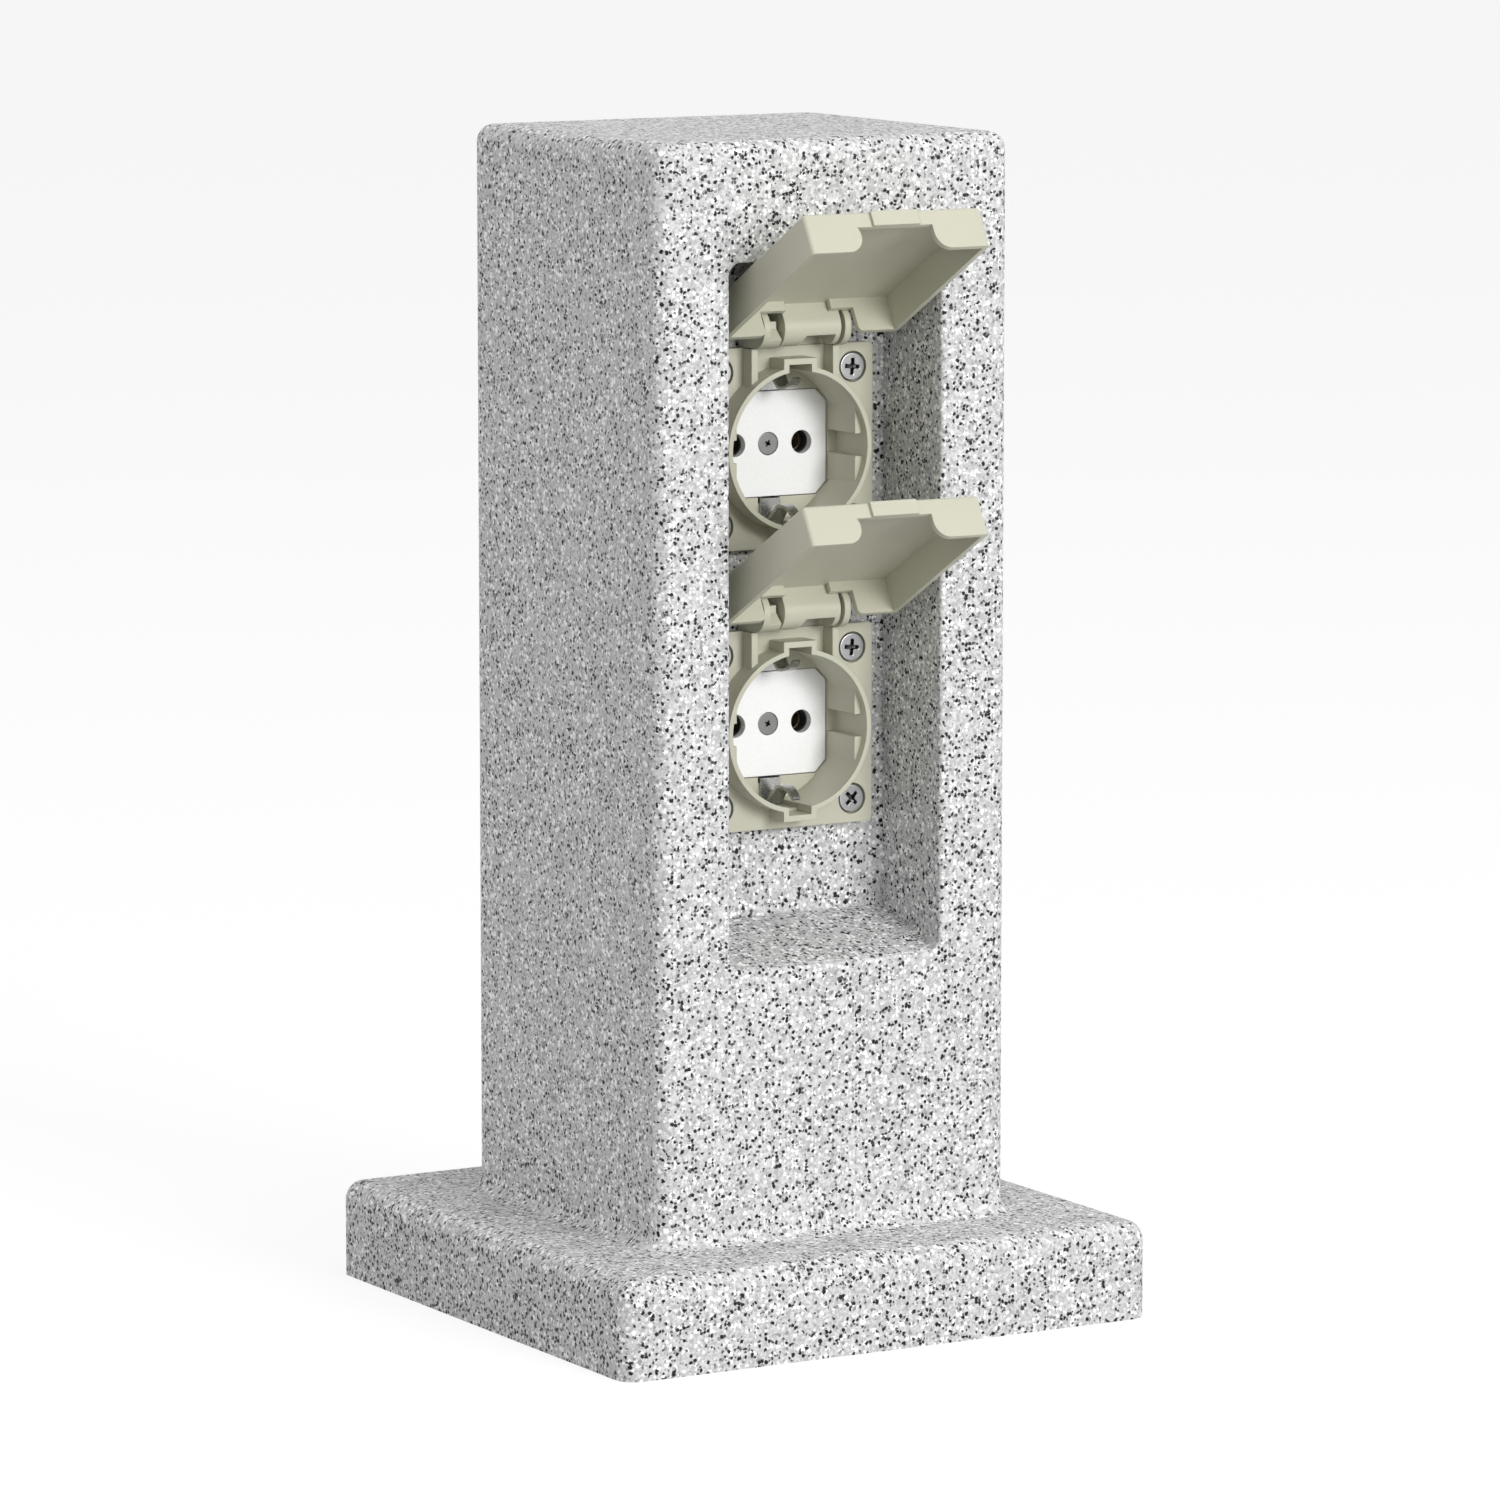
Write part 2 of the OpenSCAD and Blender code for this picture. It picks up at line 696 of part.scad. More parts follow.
// Brace on the left ear's inner face. Its slanted front runs down and out from the pin and widens.
module hinge_brace() {
    left = hinge_shift - ear_at;
    back = bridge_in + over;
    foot = flange_h / 2 - hinge_rise - over;
    translate([0, 0, hinge_rise]) {
        intersection() {
            translate([left - over, hinge_y, 0]) rod_x(0, brace_foot + over, ear_r);
            sideways(left - over, brace_foot + over) translate([hinge_y, 0]) polygon([
                [over, brace_rise], [-brace_front, brace_rise], [-brace_front - ear_r, -ear_r], [over, -ear_r]
            ]);
            upright(hinge_y - ear_r, 2 * ear_r) translate([left, 0]) polygon([
                [-over, brace_rise], [brace_top, brace_rise], [brace_foot, 0.6 - ear_r],
                [brace_foot, -ear_r], [-over, -ear_r]
            ]);
        }
        translate([left - over, hinge_y - brace_front - 0.4, 0])
            cube([over + brace_top, brace_front + 0.4 + hinge_out + back, stub_rise]);
        sideways(left - over, over + brace_top) polygon([
            [hinge_y, over / 2], [hinge_y, -ear_r], [0, -ear_r], [0, foot], [back, foot], [back, over / 2]
        ]);
    }
}

module socket_body() {
    ear_w = ear_at + ear_t;
    rib_z = recess_r * 0.8;
    slot_w = tab_w - 2 * tab_t;
    clip_room = clip_wall_z + clip_t / 2 + seat_gap;
    color(grey_plastic) difference() {
        union() {
            upright(0, flange_t) round_rect(flange_w, flange_h, flange_r);
            rod_y(-collar_proud, collar_proud + flange_t, recess_r + collar_t);
            rod_y(flange_t / 2, floor_back + skirt - flange_t / 2, rear_r);
            upright(-collar_proud, collar_proud + over) square([tab_w, 2 * tab_reach], center = true);
            for (x = [-ear_w, ear_at]) ear(x + hinge_shift);
            for (x = [-rib_at - ear_t, rib_at]) upright(-rib_proud, rib_proud + over) translate([x, rib_z])
                square([ear_t, flange_h / 2 - rib_z]);
            upright(bridge_in, flange_t - bridge_in) translate([hinge_shift - ear_w, flange_h / 2 - over])
                square([2 * ear_w, hinge_rise + ear_r * 0.7 + over - flange_h / 2]);
            hinge_brace();
        }
        difference() {
            rod_y(-collar_proud - over, collar_proud + over + recess_deep, recess_r);
            for (side = [0, 1]) mirror([side, 0, 0]) upright(-guide_proud, guide_proud + recess_deep) {
                translate([guide_flat, guide_slot / 2]) square(recess_r);
                translate([guide_flat, -guide_slot / 2 - recess_r]) square(recess_r);
            }
        }
        upright(-collar_proud - over, collar_proud + over)
            square([slot_w, 2 * (tab_reach - tab_t)], center = true);
        upright(-over, recess_deep + over) square([clip_slot_w, 2 * clip_room], center = true);
        upright(recess_deep - over, floor_t + 2 * over) {
            insert_outline(insert_gap);
            square([clip_slot_w, 2 * (clip_leg + clip_t / 2 + 0.4)], center = true);
        }
        rod_y(floor_back, skirt + over, rear_r - skirt_wall);
        at_flange_screws() {
            rod_y(-over, seat_deep + over, screw_head_d / 2 + head_gap);
            translate([0, seat_deep - 0.01, 0]) rotate([-90, 0, 0]) cylinder(
                r1 = screw_head_d / 2 + head_gap,
                r2 = screw_d / 2 + screw_gap,
                h = flange_t - seat_deep
            );
            rod_y(0, flange_t + over, screw_d / 2 + screw_gap);
        }
        translate([hinge_shift, hinge_y, hinge_rise])
            rod_x(-ear_w - over, 2 * ear_w + 2 * over, hinge_pin_d / 2 + 0.02);
    }
}

module flange_gasket() {
    hole = screw_d / 2 + gasket_hole_gap;
    color("black") upright(flange_t, gasket_t) difference() {
        round_rect(flange_w - gasket_inset, flange_h - gasket_inset, flange_r);
        circle(hole_r);
        for (sx = [-1, 1], sz = [-1, 1]) translate([sx, sz] * screw_pitch / 2) circle(hole);
    }
}

// One screw with a cross recess, turned as far as the assembler left it
module flange_screw(turn) {
    neck = screw_sunk + screw_rim;
    arm = screw_head_d * 0.3;
    difference() {
        union() {
            rod_y(screw_sunk, screw_rim, screw_head_d / 2);
            translate([0, neck, 0]) rotate([-90, 0, 0])
                cylinder(r1 = screw_head_d / 2, r2 = screw_d / 2, h = screw_cone);
            rod_y(neck, wall_face + niche_wall + screw_tail - neck, screw_d / 2);
        }
        for (a = [0, 90]) rotate([0, a + turn, 0]) translate([-arm, -over, -cross_w / 2])
            cube([2 * arm, over + screw_sunk + cross_deep, cross_w]);
    }
}

module flange_screws() {
    color(steel) for (i = [0, 1], k = [0, 1])
        translate([(i - 0.5) * screw_pitch, 0, (k - 0.5) * screw_pitch]) flange_screw(cross_turn[2 * i + k]);
}

module lid_shell() {
    h = lid_top + lid_foot;
    mid = (lid_top - lid_foot) / 2;
    grip_bottom = grip_w / 2 + grip_r;
    deep = lid_deep - lid_t;
    difference() {
        union() {
            translate([0, -lid_gap, mid]) rotate([90, 0, 0]) soft_block(lid_w, h, lid_deep, lid_r);
            translate([-pad_w / 2, lid_front + lid_r, -lid_foot - pad_proud])
                cube([pad_w, lid_deep - grip_deep - lid_r, pad_proud + lid_t]);
            upright(lid_front + 0.3, lid_r) translate([0, lid_t - lid_foot - pad_proud])
                square([pad_w, 2 * lid_t], center = true);
        }
        translate([lid_t - lid_w / 2, lid_inside, lid_t - lid_foot])
            cube([lid_w - 2 * lid_t, deep + lid_gap + over, h - 2 * lid_t]);
        // Finger cut, with round corners where it meets the rim
        translate([0, 0, -lid_foot - over - pad_proud])
            linear_extrude(lid_t + over + pad_proud + 0.01) difference() {
            translate([-grip_bottom, -lid_gap - grip_deep]) square([2 * grip_bottom, grip_deep + over]);
            for (s = [-1, 1]) {
                translate([s * grip_bottom, -lid_gap - grip_r]) circle(grip_r);
                translate([s * (grip_bottom + grip_w / 2) - grip_bottom, -lid_gap - grip_deep - over])
                    square([2 * grip_bottom - grip_w, grip_deep + over - grip_r]);
            }
        }
        // Opening for the tongue, and the notches for the ears
        translate([0, 0, lid_top - lid_t - 0.01]) linear_extrude(lid_t + over) {
            translate([-heel_left, lid_inside]) square([heel_left + heel_right, deep + lid_gap + over]);
            translate([-notch_half, notch_y]) square([2 * notch_half, -notch_y + over]);
            for (s = [0, 1]) mirror([s, 0]) translate([notch_half, -lid_gap]) mirror([0, 1])
                edge_waste(notch_r);
        }
    }
}

module lid() {
    barrel_len = barrel_left + barrel_right;
    bore_r = barrel_r - barrel_t;
    half = hinge_rise - barrel_r;
    tail_room = coil_r + spring_wire_r + 0.2;
    tail_from = tail_turn - tail_spare;
    tail_to = tail_turn + lid_open + tail_spare;
    cut_low = -barrel_r - over;
    color(grey_plastic) difference() {
        translate([0, hinge_y, hinge_rise]) rotate([-lid_open, 0, 0]) translate([0, -hinge_y, -hinge_rise])
            difference() {
                union() {
                    lid_shell();
                    translate([0, hinge_y, hinge_rise]) rod_x(-barrel_left, barrel_len, barrel_r);
                    sideways(-barrel_left, barrel_len) polygon([
                        [lid_front + 0.3, lid_top - lid_t],
                        [lid_front + 0.3, lid_top + 1],
                        [hinge_y - barrel_r, hinge_rise],
                        [hinge_y, hinge_rise],
                        [hinge_y, half],
                        [lid_inside, half],
                        [lid_inside, lid_top - lid_t]
                    ]);
                }
                translate([0, hinge_y, hinge_rise]) {
                    rod_x(end_ring - barrel_left, barrel_len - 2 * end_ring, bore_r);
                    rod_x(-barrel_left - over, barrel_len + 2 * over, hinge_pin_d / 2 + hinge_gap);
                    // Slot in the left end for the spring's tail, as long as the lid's travel
                    intersection() {
                        rod_x(-barrel_left - over, end_ring + 2 * over, tail_room);
                        sideways(-barrel_left - over, end_ring + 2 * over) polygon(concat([[0, 0]], [
                            for (i = [0 : 2]) let(a = tail_from + (tail_to - tail_from) * i / 2)
                                4 * tail_room * [cos(a), sin(a)]
                        ]));
                    }
                }
            }
        // The barrel is cut away below, but for a ring at its right end
        upright(hinge_y - barrel_r - over, 2 * (barrel_r + over))
            translate([barrel_right - end_ring, hinge_rise]) polygon([
                [-barrel_cut_top, barrel_cut_z], [0, barrel_cut_z], [0, cut_low], [-barrel_cut_foot, cut_low]
            ]);
    }
}

module hinge_pin() {
    end = ear_at + ear_t + seat_gap;
    color(steel) translate([hinge_shift, hinge_y, hinge_rise]) rod_x(-end, 2 * end, hinge_pin_d / 2);
}

// Torsion spring: turns round the hinge pin and a tail along it that rests on the body's brace
module lid_spring() {
    steps = 8;
    sides = 6;
    start_x = end_ring - barrel_left + 0.3 + spring_wire_r;
    tail_x = hinge_shift - ear_at + brace_top + seat_gap;
    // Each point is its place along x and its angle round the pin
    tail = [
        [tail_x, tail_turn], [start_x - 0.7, tail_turn], [start_x - 0.3, tail_turn + 4],
        [start_x - 0.08, tail_turn + 19]
    ];
    coil = [
        for (i = [0 : spring_turns * steps])
            [start_x + spring_pitch * i / steps, tail_turn + 40 + 360 * i / steps]
    ];
    route = [for (p = concat(tail, coil)) [p[0], coil_r * cos(p[1]), coil_r * sin(p[1])]];
    last = len(route) - 1;
    function unit(v) = v / norm(v);
    points = [
        for (i = [0 : last])
            let(
                along = unit(route[min(i + 1, last)] - route[max(i - 1, 0)]),
                out = [0, route[i][1], route[i][2]],
                up = unit(out - along * (out * along)),
                side = cross(along, up)
            )
            for (k = [0 : sides - 1]) let(a = 360 * k / sides)
                route[i] + spring_wire_r * (up * cos(a) + side * sin(a))
    ];
    walls = [
        for (i = [0 : last - 1], k = [0 : sides - 1])
            let(a = i * sides + k, b = i * sides + (k + 1) % sides)
            each [[a, a + sides, b + sides], [a, b + sides, b]]
    ];
    end = last * sides;
    caps = [for (k = [1 : sides - 2]) each [[0, k, k + 1], [end, end + k + 1, end + k]]];
    echo(spring_gap = spring_pitch - 2 * spring_wire_r);
    color(steel) translate([0, hinge_y, hinge_rise]) polyhedron(points, concat(walls, caps));
}

module at_pins() {
    for (s = [-1, 1]) translate([s * pin_pitch / 2, 0, 0]) children();
}

// The insert's outline with chamfered corners, widened all round by a gap
module insert_outline(gap) {
    x = insert_w / 2 + gap;
    z = insert_h / 2 + gap;
    c = insert_cut + gap * (2 - sqrt(2));
    polygon([
        [x - c, z], [x, z - c], [x, c - z], [x - c, -z],
        [c - x, -z], [-x, c - z], [-x, z - c], [c - x, z]
    ]);
}

module insert() {
    boss = 2;
    color(white_plastic) difference() {
        union() {
            upright(insert_face, insert_t) insert_outline(0);
            at_pins() rod_y(insert_back - over, boss + over - seat_gap, pin_hole_d / 2 + 1.3);
            rod_y(insert_back - over, 0.9 + over, 4.2);
        }
        at_pins() rod_y(insert_face - over, insert_t + boss + 2 * over, pin_hole_d / 2);
        rod_y(insert_face - over, 1.4 + over, insert_head_d / 2 + 0.1);
        rod_y(insert_face, insert_t + boss + over, 1.7);
    }
}

module insert_screw() {
    color(steel) difference() {
        union() {
            rod_y(insert_face + 0.1, 1.2, insert_head_d / 2);
            rod_y(insert_face + 0.1, 14, 1.4);
        }
        translate([0, insert_face + 1, 0]) rotate([90, 0, 0]) cylinder(r = 1, h = 2, $fn = 6);
    }
}

module earth_clip() {
    // Upper half of the clip, as points of y and z from the middle to the tip
    back_arc = [for (i = [4 : -1 : 1]) let(a = bow_back_turn * i / 4)
        [bow_y + bow_back_r * sin(a), bow_z + bow_back_r * (1 - cos(a))]];
    front_arc = [for (i = [0 : 10]) let(a = bow_front_turn * i / 10)
        [bow_y - bow_front_r * sin(a), bow_z + bow_front_r * (1 - cos(a))]];
    rise = (clip_wall_z - back_arc[0][1]) / tan(bow_back_turn);
    half = concat(
        [[clip_y, 0], [clip_y, clip_leg], [clip_floor_y, clip_leg], [clip_floor_y, clip_wall_z]],
        [[back_arc[0][0] + rise, clip_wall_z]], back_arc, front_arc
    );
    last = len(half) - 1;
    tip_y = half[last][0] - clip_t;
    route = concat([for (i = [last : -1 : 1]) [half[i][0], -half[i][1]]], [for (i = [1 : last]) half[i]]);
    lug_end = terminal_y + terminal_len;
    color(steel) difference() {
        union() {
            intersection() {
                sideways(-clip_w / 2, clip_w) strip(route, clip_t);
                // The bow narrows towards its tips
                translate([0, 0, -rear_r]) linear_extrude(2 * rear_r)
                    for (s = [0, 1]) mirror([s, 0]) polygon([
                        [-over, tip_y], [clip_tip_w / 2, tip_y], [clip_waist_w / 2, clip_waist_y],
                        [clip_w / 2, clip_floor_y - clip_t / 2],
                        [clip_w / 2, clip_y + over], [-over, clip_y + over]
                    ]);
            }
            translate([-clip_w / 2, clip_y, -clip_leg - clip_t / 2]) cube([clip_w, lug_end - clip_y, clip_t]);
            translate([-terminal_w / 2, terminal_y, earth_terminal_z - earth_terminal_h / 2])
                cube([terminal_w, terminal_len, earth_terminal_h]);
        }
        rod_y(clip_y - over, 2 * over, 1.8);
        for (s = [-1, 1])
            rod_y(lug_end - 6, 6 + over, core_hole_r, s * wire_pitch / 2, earth_terminal_z);
        translate([0, terminal_screw_y, earth_terminal_z - earth_terminal_h])
            cylinder(d = terminal_screw_d + 2 * thread_gap, h = earth_terminal_h);
    }
}

module contact_carrier() {
    block_w = pin_pitch + terminal_w + 6;
    block_h = 2 * (clip_leg - clip_t / 2 - 0.5);
    disc_r = rear_r - skirt_wall - 0.3;
    disc_t = skirt + 0.6;
    block_y = floor_back + skirt + 0.3;
    terminal_room = 0.2;
    color("gray") difference() {
        union() {
            rod_y(floor_back + 0.1, disc_t, disc_r);
            upright(block_y, carrier_back - block_y) square([block_w, block_h], center = true);
        }
        upright(floor_back - over, carrier_front - floor_back + over)
            square([window_w + 1, 2 * (clip_leg + clip_t)], center = true);
        upright(carrier_front - over, disc_t) translate([0, -clip_leg])
            square([clip_slot_w, clip_t + 0.6], center = true);
        at_pins() {
            rod_y(carrier_front - over, terminal_y - carrier_front + over + 0.2, sleeve_r + 0.2);
            translate([-terminal_w / 2 - terminal_room, terminal_y - 0.1, -terminal_h / 2 - terminal_room])
                cube([terminal_w + 2 * terminal_room, terminal_len + 2, terminal_h + 2 * terminal_room]);
            translate([0, terminal_screw_y, 0]) cylinder(d = terminal_head_d + 0.6, h = block_h);
        }
        rod_y(carrier_front - over, 13, 1.4 + thread_gap);
    }
}

module pin_contact(side) {
    x = side * pin_pitch / 2;
    color(brass) difference() {
        union() {
            rod_y(carrier_front + 0.3, terminal_y - carrier_front, sleeve_r, x);
            translate([x - terminal_w / 2, terminal_y, -terminal_h / 2])
                cube([terminal_w, terminal_len, terminal_h]);
        }
        rod_y(carrier_front, terminal_y - carrier_front - 1, sleeve_bore / 2, x);
        for (s = [-1, 1]) rod_y(terminal_y + 2, terminal_len, core_hole_r, x + s * wire_pitch / 2);
        translate([x, terminal_screw_y, 0]) cylinder(d = terminal_screw_d + 2 * thread_gap, h = terminal_h);
    }
}

// A clamp screw along z, its head up, with its tip just clear of the wires at z 0
module clamp_screw(face) {
    tip = core_d / 2 + 0.15;
    difference() {
        union() {
            translate([0, 0, tip]) cylinder(d = terminal_screw_d, h = face + 0.1 - tip);
            translate([0, 0, face + 0.1]) cylinder(d = terminal_head_d, h = terminal_head_t);
        }
        translate([-terminal_head_d, -0.3, face + terminal_head_t - 0.5]) cube([2 * terminal_head_d, 0.6, 1]);
    }
}

module terminal_screws() {
    color(steel) {
        at_pins() translate([0, terminal_screw_y, 0]) clamp_screw(terminal_h / 2);
        translate([0, terminal_screw_y, earth_terminal_z]) rotate([180, 0, 0])
            clamp_screw(earth_terminal_h / 2);
    }
}

column_shell();
base_cover();
base_cover_screws();
gland_body();
gland_locknut();
gland_seal();
gland_cap();
terminal_strip();
strip_sleeves();
strip_clamp_screws();
strip_fixing_screws();
live_wires();
neutral_wires();
earth_wires();
at_socket(low_socket_z) socket_body();  // lower_socket_body
at_socket(low_socket_z) flange_gasket();  // lower_flange_gasket
at_socket(low_socket_z) flange_screws();  // lower_flange_screws
at_socket(low_socket_z) lid();  // lower_lid
at_socket(low_socket_z) hinge_pin();  // lower_hinge_pin
at_socket(low_socket_z) lid_spring();  // lower_lid_spring
at_socket(low_socket_z) insert();  // lower_insert
at_socket(low_socket_z) insert_screw();  // lower_insert_screw
at_socket(low_socket_z) earth_clip();  // lower_earth_clip
at_socket(low_socket_z) contact_carrier();  // lower_contact_carrier
at_socket(low_socket_z) pin_contact(-1);  // lower_live_contact
at_socket(low_socket_z) pin_contact(1);  // lower_neutral_contact
at_socket(low_socket_z) terminal_screws();  // lower_terminal_screws
at_socket(high_socket_z) socket_body();  // upper_socket_body
at_socket(high_socket_z) flange_gasket();  // upper_flange_gasket
at_socket(high_socket_z) flange_screws();  // upper_flange_screws
at_socket(high_socket_z) lid();  // upper_lid
at_socket(high_socket_z) hinge_pin();  // upper_hinge_pin
at_socket(high_socket_z) lid_spring();  // upper_lid_spring
at_socket(high_socket_z) insert();  // upper_insert
at_socket(high_socket_z) insert_screw();  // upper_insert_screw
at_socket(high_socket_z) earth_clip();  // upper_earth_clip
at_socket(high_socket_z) contact_carrier();  // upper_contact_carrier
at_socket(high_socket_z) pin_contact(-1);  // upper_live_contact
at_socket(high_socket_z) pin_contact(1);  // upper_neutral_contact
at_socket(high_socket_z) terminal_screws();  // upper_terminal_screws
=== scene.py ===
import json
import math

import bmesh
import bpy
import numpy as np
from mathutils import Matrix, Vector


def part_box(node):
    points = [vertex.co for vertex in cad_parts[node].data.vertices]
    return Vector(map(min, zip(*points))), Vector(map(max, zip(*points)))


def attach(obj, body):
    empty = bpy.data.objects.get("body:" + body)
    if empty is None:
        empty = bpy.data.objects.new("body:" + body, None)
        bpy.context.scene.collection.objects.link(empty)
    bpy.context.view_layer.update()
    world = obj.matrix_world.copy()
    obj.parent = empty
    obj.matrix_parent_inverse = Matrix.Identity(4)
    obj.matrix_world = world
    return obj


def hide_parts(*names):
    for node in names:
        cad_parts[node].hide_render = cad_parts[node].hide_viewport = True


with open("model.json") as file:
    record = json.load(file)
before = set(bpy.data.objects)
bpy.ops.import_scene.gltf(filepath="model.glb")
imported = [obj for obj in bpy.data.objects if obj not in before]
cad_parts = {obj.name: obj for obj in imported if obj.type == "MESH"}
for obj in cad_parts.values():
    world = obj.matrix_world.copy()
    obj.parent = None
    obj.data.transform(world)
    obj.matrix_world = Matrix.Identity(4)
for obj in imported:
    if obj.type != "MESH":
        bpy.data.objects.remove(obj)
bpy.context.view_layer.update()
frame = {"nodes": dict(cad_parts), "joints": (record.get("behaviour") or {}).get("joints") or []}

print("frame loaded:", len(frame["nodes"]), "nodes")

edgeSamples = 6                 # rays of each rounded edge's Bevel node


def newMaterial(name):
    mat = bpy.data.materials.new(name)
    mat.use_nodes = True
    mat.node_tree.nodes.clear()
    out = mat.node_tree.nodes.new("ShaderNodeOutputMaterial")
    return mat, mat.node_tree.nodes, mat.node_tree.links, out


def setInputs(node, values):
    for key, value in values.items():
        node.inputs[key].default_value = value


def objectPoint(nodes):
    return nodes.new("ShaderNodeTexCoord").outputs["Object"]


def noise(nodes, links, point, scale, detail=2.0, rough=0.5, distort=0.0):
    tex = nodes.new("ShaderNodeTexNoise")
    setInputs(tex, {"Scale": scale, "Detail": detail, "Roughness": rough, "Distortion": distort})
    links.new(point, tex.inputs["Vector"])
    return tex


def maths(nodes, links, operation, *values):
    node = nodes.new("ShaderNodeMath")
    node.operation = operation
    for socket, value in zip(node.inputs, values):
        if isinstance(value, (int, float)):
            socket.default_value = value
        else:
            links.new(value, socket)
    return node.outputs[0]


def stepBetween(nodes, links, value, low, high, outLow=0.0, outHigh=1.0):
    node = nodes.new("ShaderNodeMapRange")
    node.interpolation_type = "SMOOTHSTEP"
    setInputs(node, {"From Min": low, "From Max": high, "To Min": outLow, "To Max": outHigh})
    links.new(value, node.inputs["Value"])
    return node.outputs["Result"]


def mixColour(nodes, links, factor, a, b):
    # Inputs 6 and 7 and output 2 are the colours of a Mix node
    node = nodes.new("ShaderNodeMix")
    node.data_type = "RGBA"
    links.new(factor, node.inputs[0])
    for socket, value in ((node.inputs[6], a), (node.inputs[7], b)):
        if isinstance(value, (tuple, list)):
            socket.default_value = (*value, 1.0)
        else:
            links.new(value, socket)
    return node.outputs[2]


def times(colour, amount):
    return tuple(min(1.0, c * amount) for c in colour)


def driftColour(nodes, links, factor, colour, drift):
    return mixColour(nodes, links, factor, times(colour, 1.0 - drift), times(colour, 1.0 + drift))


def bumpFrom(nodes, links, height, strength, distance, edge=None):
    node = nodes.new("ShaderNodeBump")
    setInputs(node, {"Strength": strength, "Distance": distance})
    links.new(height, node.inputs["Height"])
    if edge:
        soft = nodes.new("ShaderNodeBevel")
        soft.samples = edgeSamples
        soft.inputs["Radius"].default_value = edge
        links.new(soft.outputs[0], node.inputs["Normal"])
    return node.outputs[0]


def principled(nodes, links, out, values, linked):
    shade = nodes.new("ShaderNodeBsdfPrincipled")
    setInputs(shade, values)
    for key, source in linked.items():
        links.new(source, shade.inputs[key])
    links.new(shade.outputs[0], out.inputs[0])


# Granite-look moulding: an even grey ground with white, grey and black grains
graniteLook = {
    "ground": (0.45, 0.45, 0.45),
    "cloud": (0.70, 0.70, 0.705),
    "cloudNoise": (1000.0, 3.0, 0.65, 0.3),
    "cloudEdge": (0.38, 0.62),
    "roughness": 0.55,
    "gloss": 0.28,              # specular level: a dull moulding, whose dark grains stay dark in the shade
    "fineNoise": (1500.0, 2.0, 0.6),
    "fineShare": 0.4,
    "relief": 0.25,
    "reliefHeight": 0.00012,
    "warpScale": 900.0,
    "warp": 0.0007,             # how far the grains' outlines wander, which also draws some of them out
    "pickWidth": 0.02,
    "sizeSpread": 0.6,          # share of a grain's size that varies
    "outlineScale": 3.1,        # waves of a grain's outline per cell
    "outlineNoise": (2.0, 0.6),
    "grainEdge": (-0.03, 0.05),
    # Tint, grains per metre, share of the cells that hold one, size in cells, raggedness,
    # place of the pattern
    "grains": (
        ((0.98, 0.98, 0.98), 900.0, 0.34, 0.68, 0.9, (0.0, 0.0, 0.0)),
        ((0.30, 0.30, 0.305), 1000.0, 0.16, 0.64, 0.9, (0.021, 0.011, 0.037)),
        ((0.08, 0.08, 0.082), 1250.0, 0.16, 0.66, 0.8, (0.043, 0.017, 0.009)),
        ((0.004, 0.004, 0.005), 1050.0, 0.20, 0.68, 0.8, (0.013, 0.029, 0.041)),
    ),
}


def grains(nodes, links, point, look, scale, share, size, ragged, place):
    # One grain in each chosen cell: the cell's random colour picks the cells, the distance cuts the edge
    shifted = nodes.new("ShaderNodeMapping")
    shifted.inputs["Location"].default_value = place
    links.new(point, shifted.inputs["Vector"])
    point = shifted.outputs[0]
    cell = nodes.new("ShaderNodeTexVoronoi")
    setInputs(cell, {"Scale": scale, "Randomness": 1.0})
    links.new(point, cell.inputs["Vector"])
    split = nodes.new("ShaderNodeSeparateColor")
    links.new(cell.outputs["Color"], split.inputs[0])
    chosen = stepBetween(nodes, links, split.outputs[0], 1.0 - share, 1.0 - share + look["pickWidth"])
    # Grains differ in size, by the cell's second random number
    spread = look["sizeSpread"]
    reach = maths(nodes, links, "MULTIPLY_ADD", split.outputs[1], size * spread, size * (1.0 - spread))
    edge = noise(nodes, links, point, scale * look["outlineScale"], *look["outlineNoise"])
    wobble = maths(nodes, links, "MULTIPLY", maths(nodes, links, "SUBTRACT", edge.outputs[0], 0.5), ragged)
    gap = maths(nodes, links, "SUBTRACT", maths(nodes, links, "ADD", reach, wobble), cell.outputs["Distance"])
    body = stepBetween(nodes, links, gap, *look["grainEdge"])
    return maths(nodes, links, "MULTIPLY", chosen, body)


def warped(nodes, links, point, scale, reach):
    # Each point is moved by a smooth random vector of at most half the reach each way
    drift = noise(nodes, links, point, scale)
    middle = nodes.new("ShaderNodeVectorMath")
    middle.operation = "SUBTRACT"
    middle.inputs[1].default_value = (0.5, 0.5, 0.5)
    links.new(drift.outputs["Color"], middle.inputs[0])
    moved = nodes.new("ShaderNodeVectorMath")
    moved.operation = "MULTIPLY_ADD"
    moved.inputs[1].default_value = (reach, reach, reach)
    links.new(middle.outputs[0], moved.inputs[0])
    links.new(point, moved.inputs[2])
    return moved.outputs[0]


def graniteMaterial(look):
    mat, nodes, links, out = newMaterial("graniteLook")
    point = objectPoint(nodes)
    cloud = noise(nodes, links, point, *look["cloudNoise"])
    tone = stepBetween(nodes, links, cloud.outputs[0], *look["cloudEdge"])
    colour = mixColour(nodes, links, tone, look["ground"], look["cloud"])
    drawn = warped(nodes, links, point, look["warpScale"], look["warp"])
    for tint, *form in look["grains"]:
        spot = grains(nodes, links, drawn, look, *form)
        colour = mixColour(nodes, links, spot, colour, tint)
    fine = noise(nodes, links, point, *look["fineNoise"])
    rise = maths(nodes, links, "MULTIPLY", fine.outputs[0], look["fineShare"])
    height = maths(nodes, links, "ADD", rise, tone)
    principled(nodes, links, out, {"Roughness": look["roughness"], "Specular IOR Level": look["gloss"]}, {
        "Base Color": colour,
        "Normal": bumpFrom(nodes, links, height, look["relief"], look["reliefHeight"]),
    })
    return mat


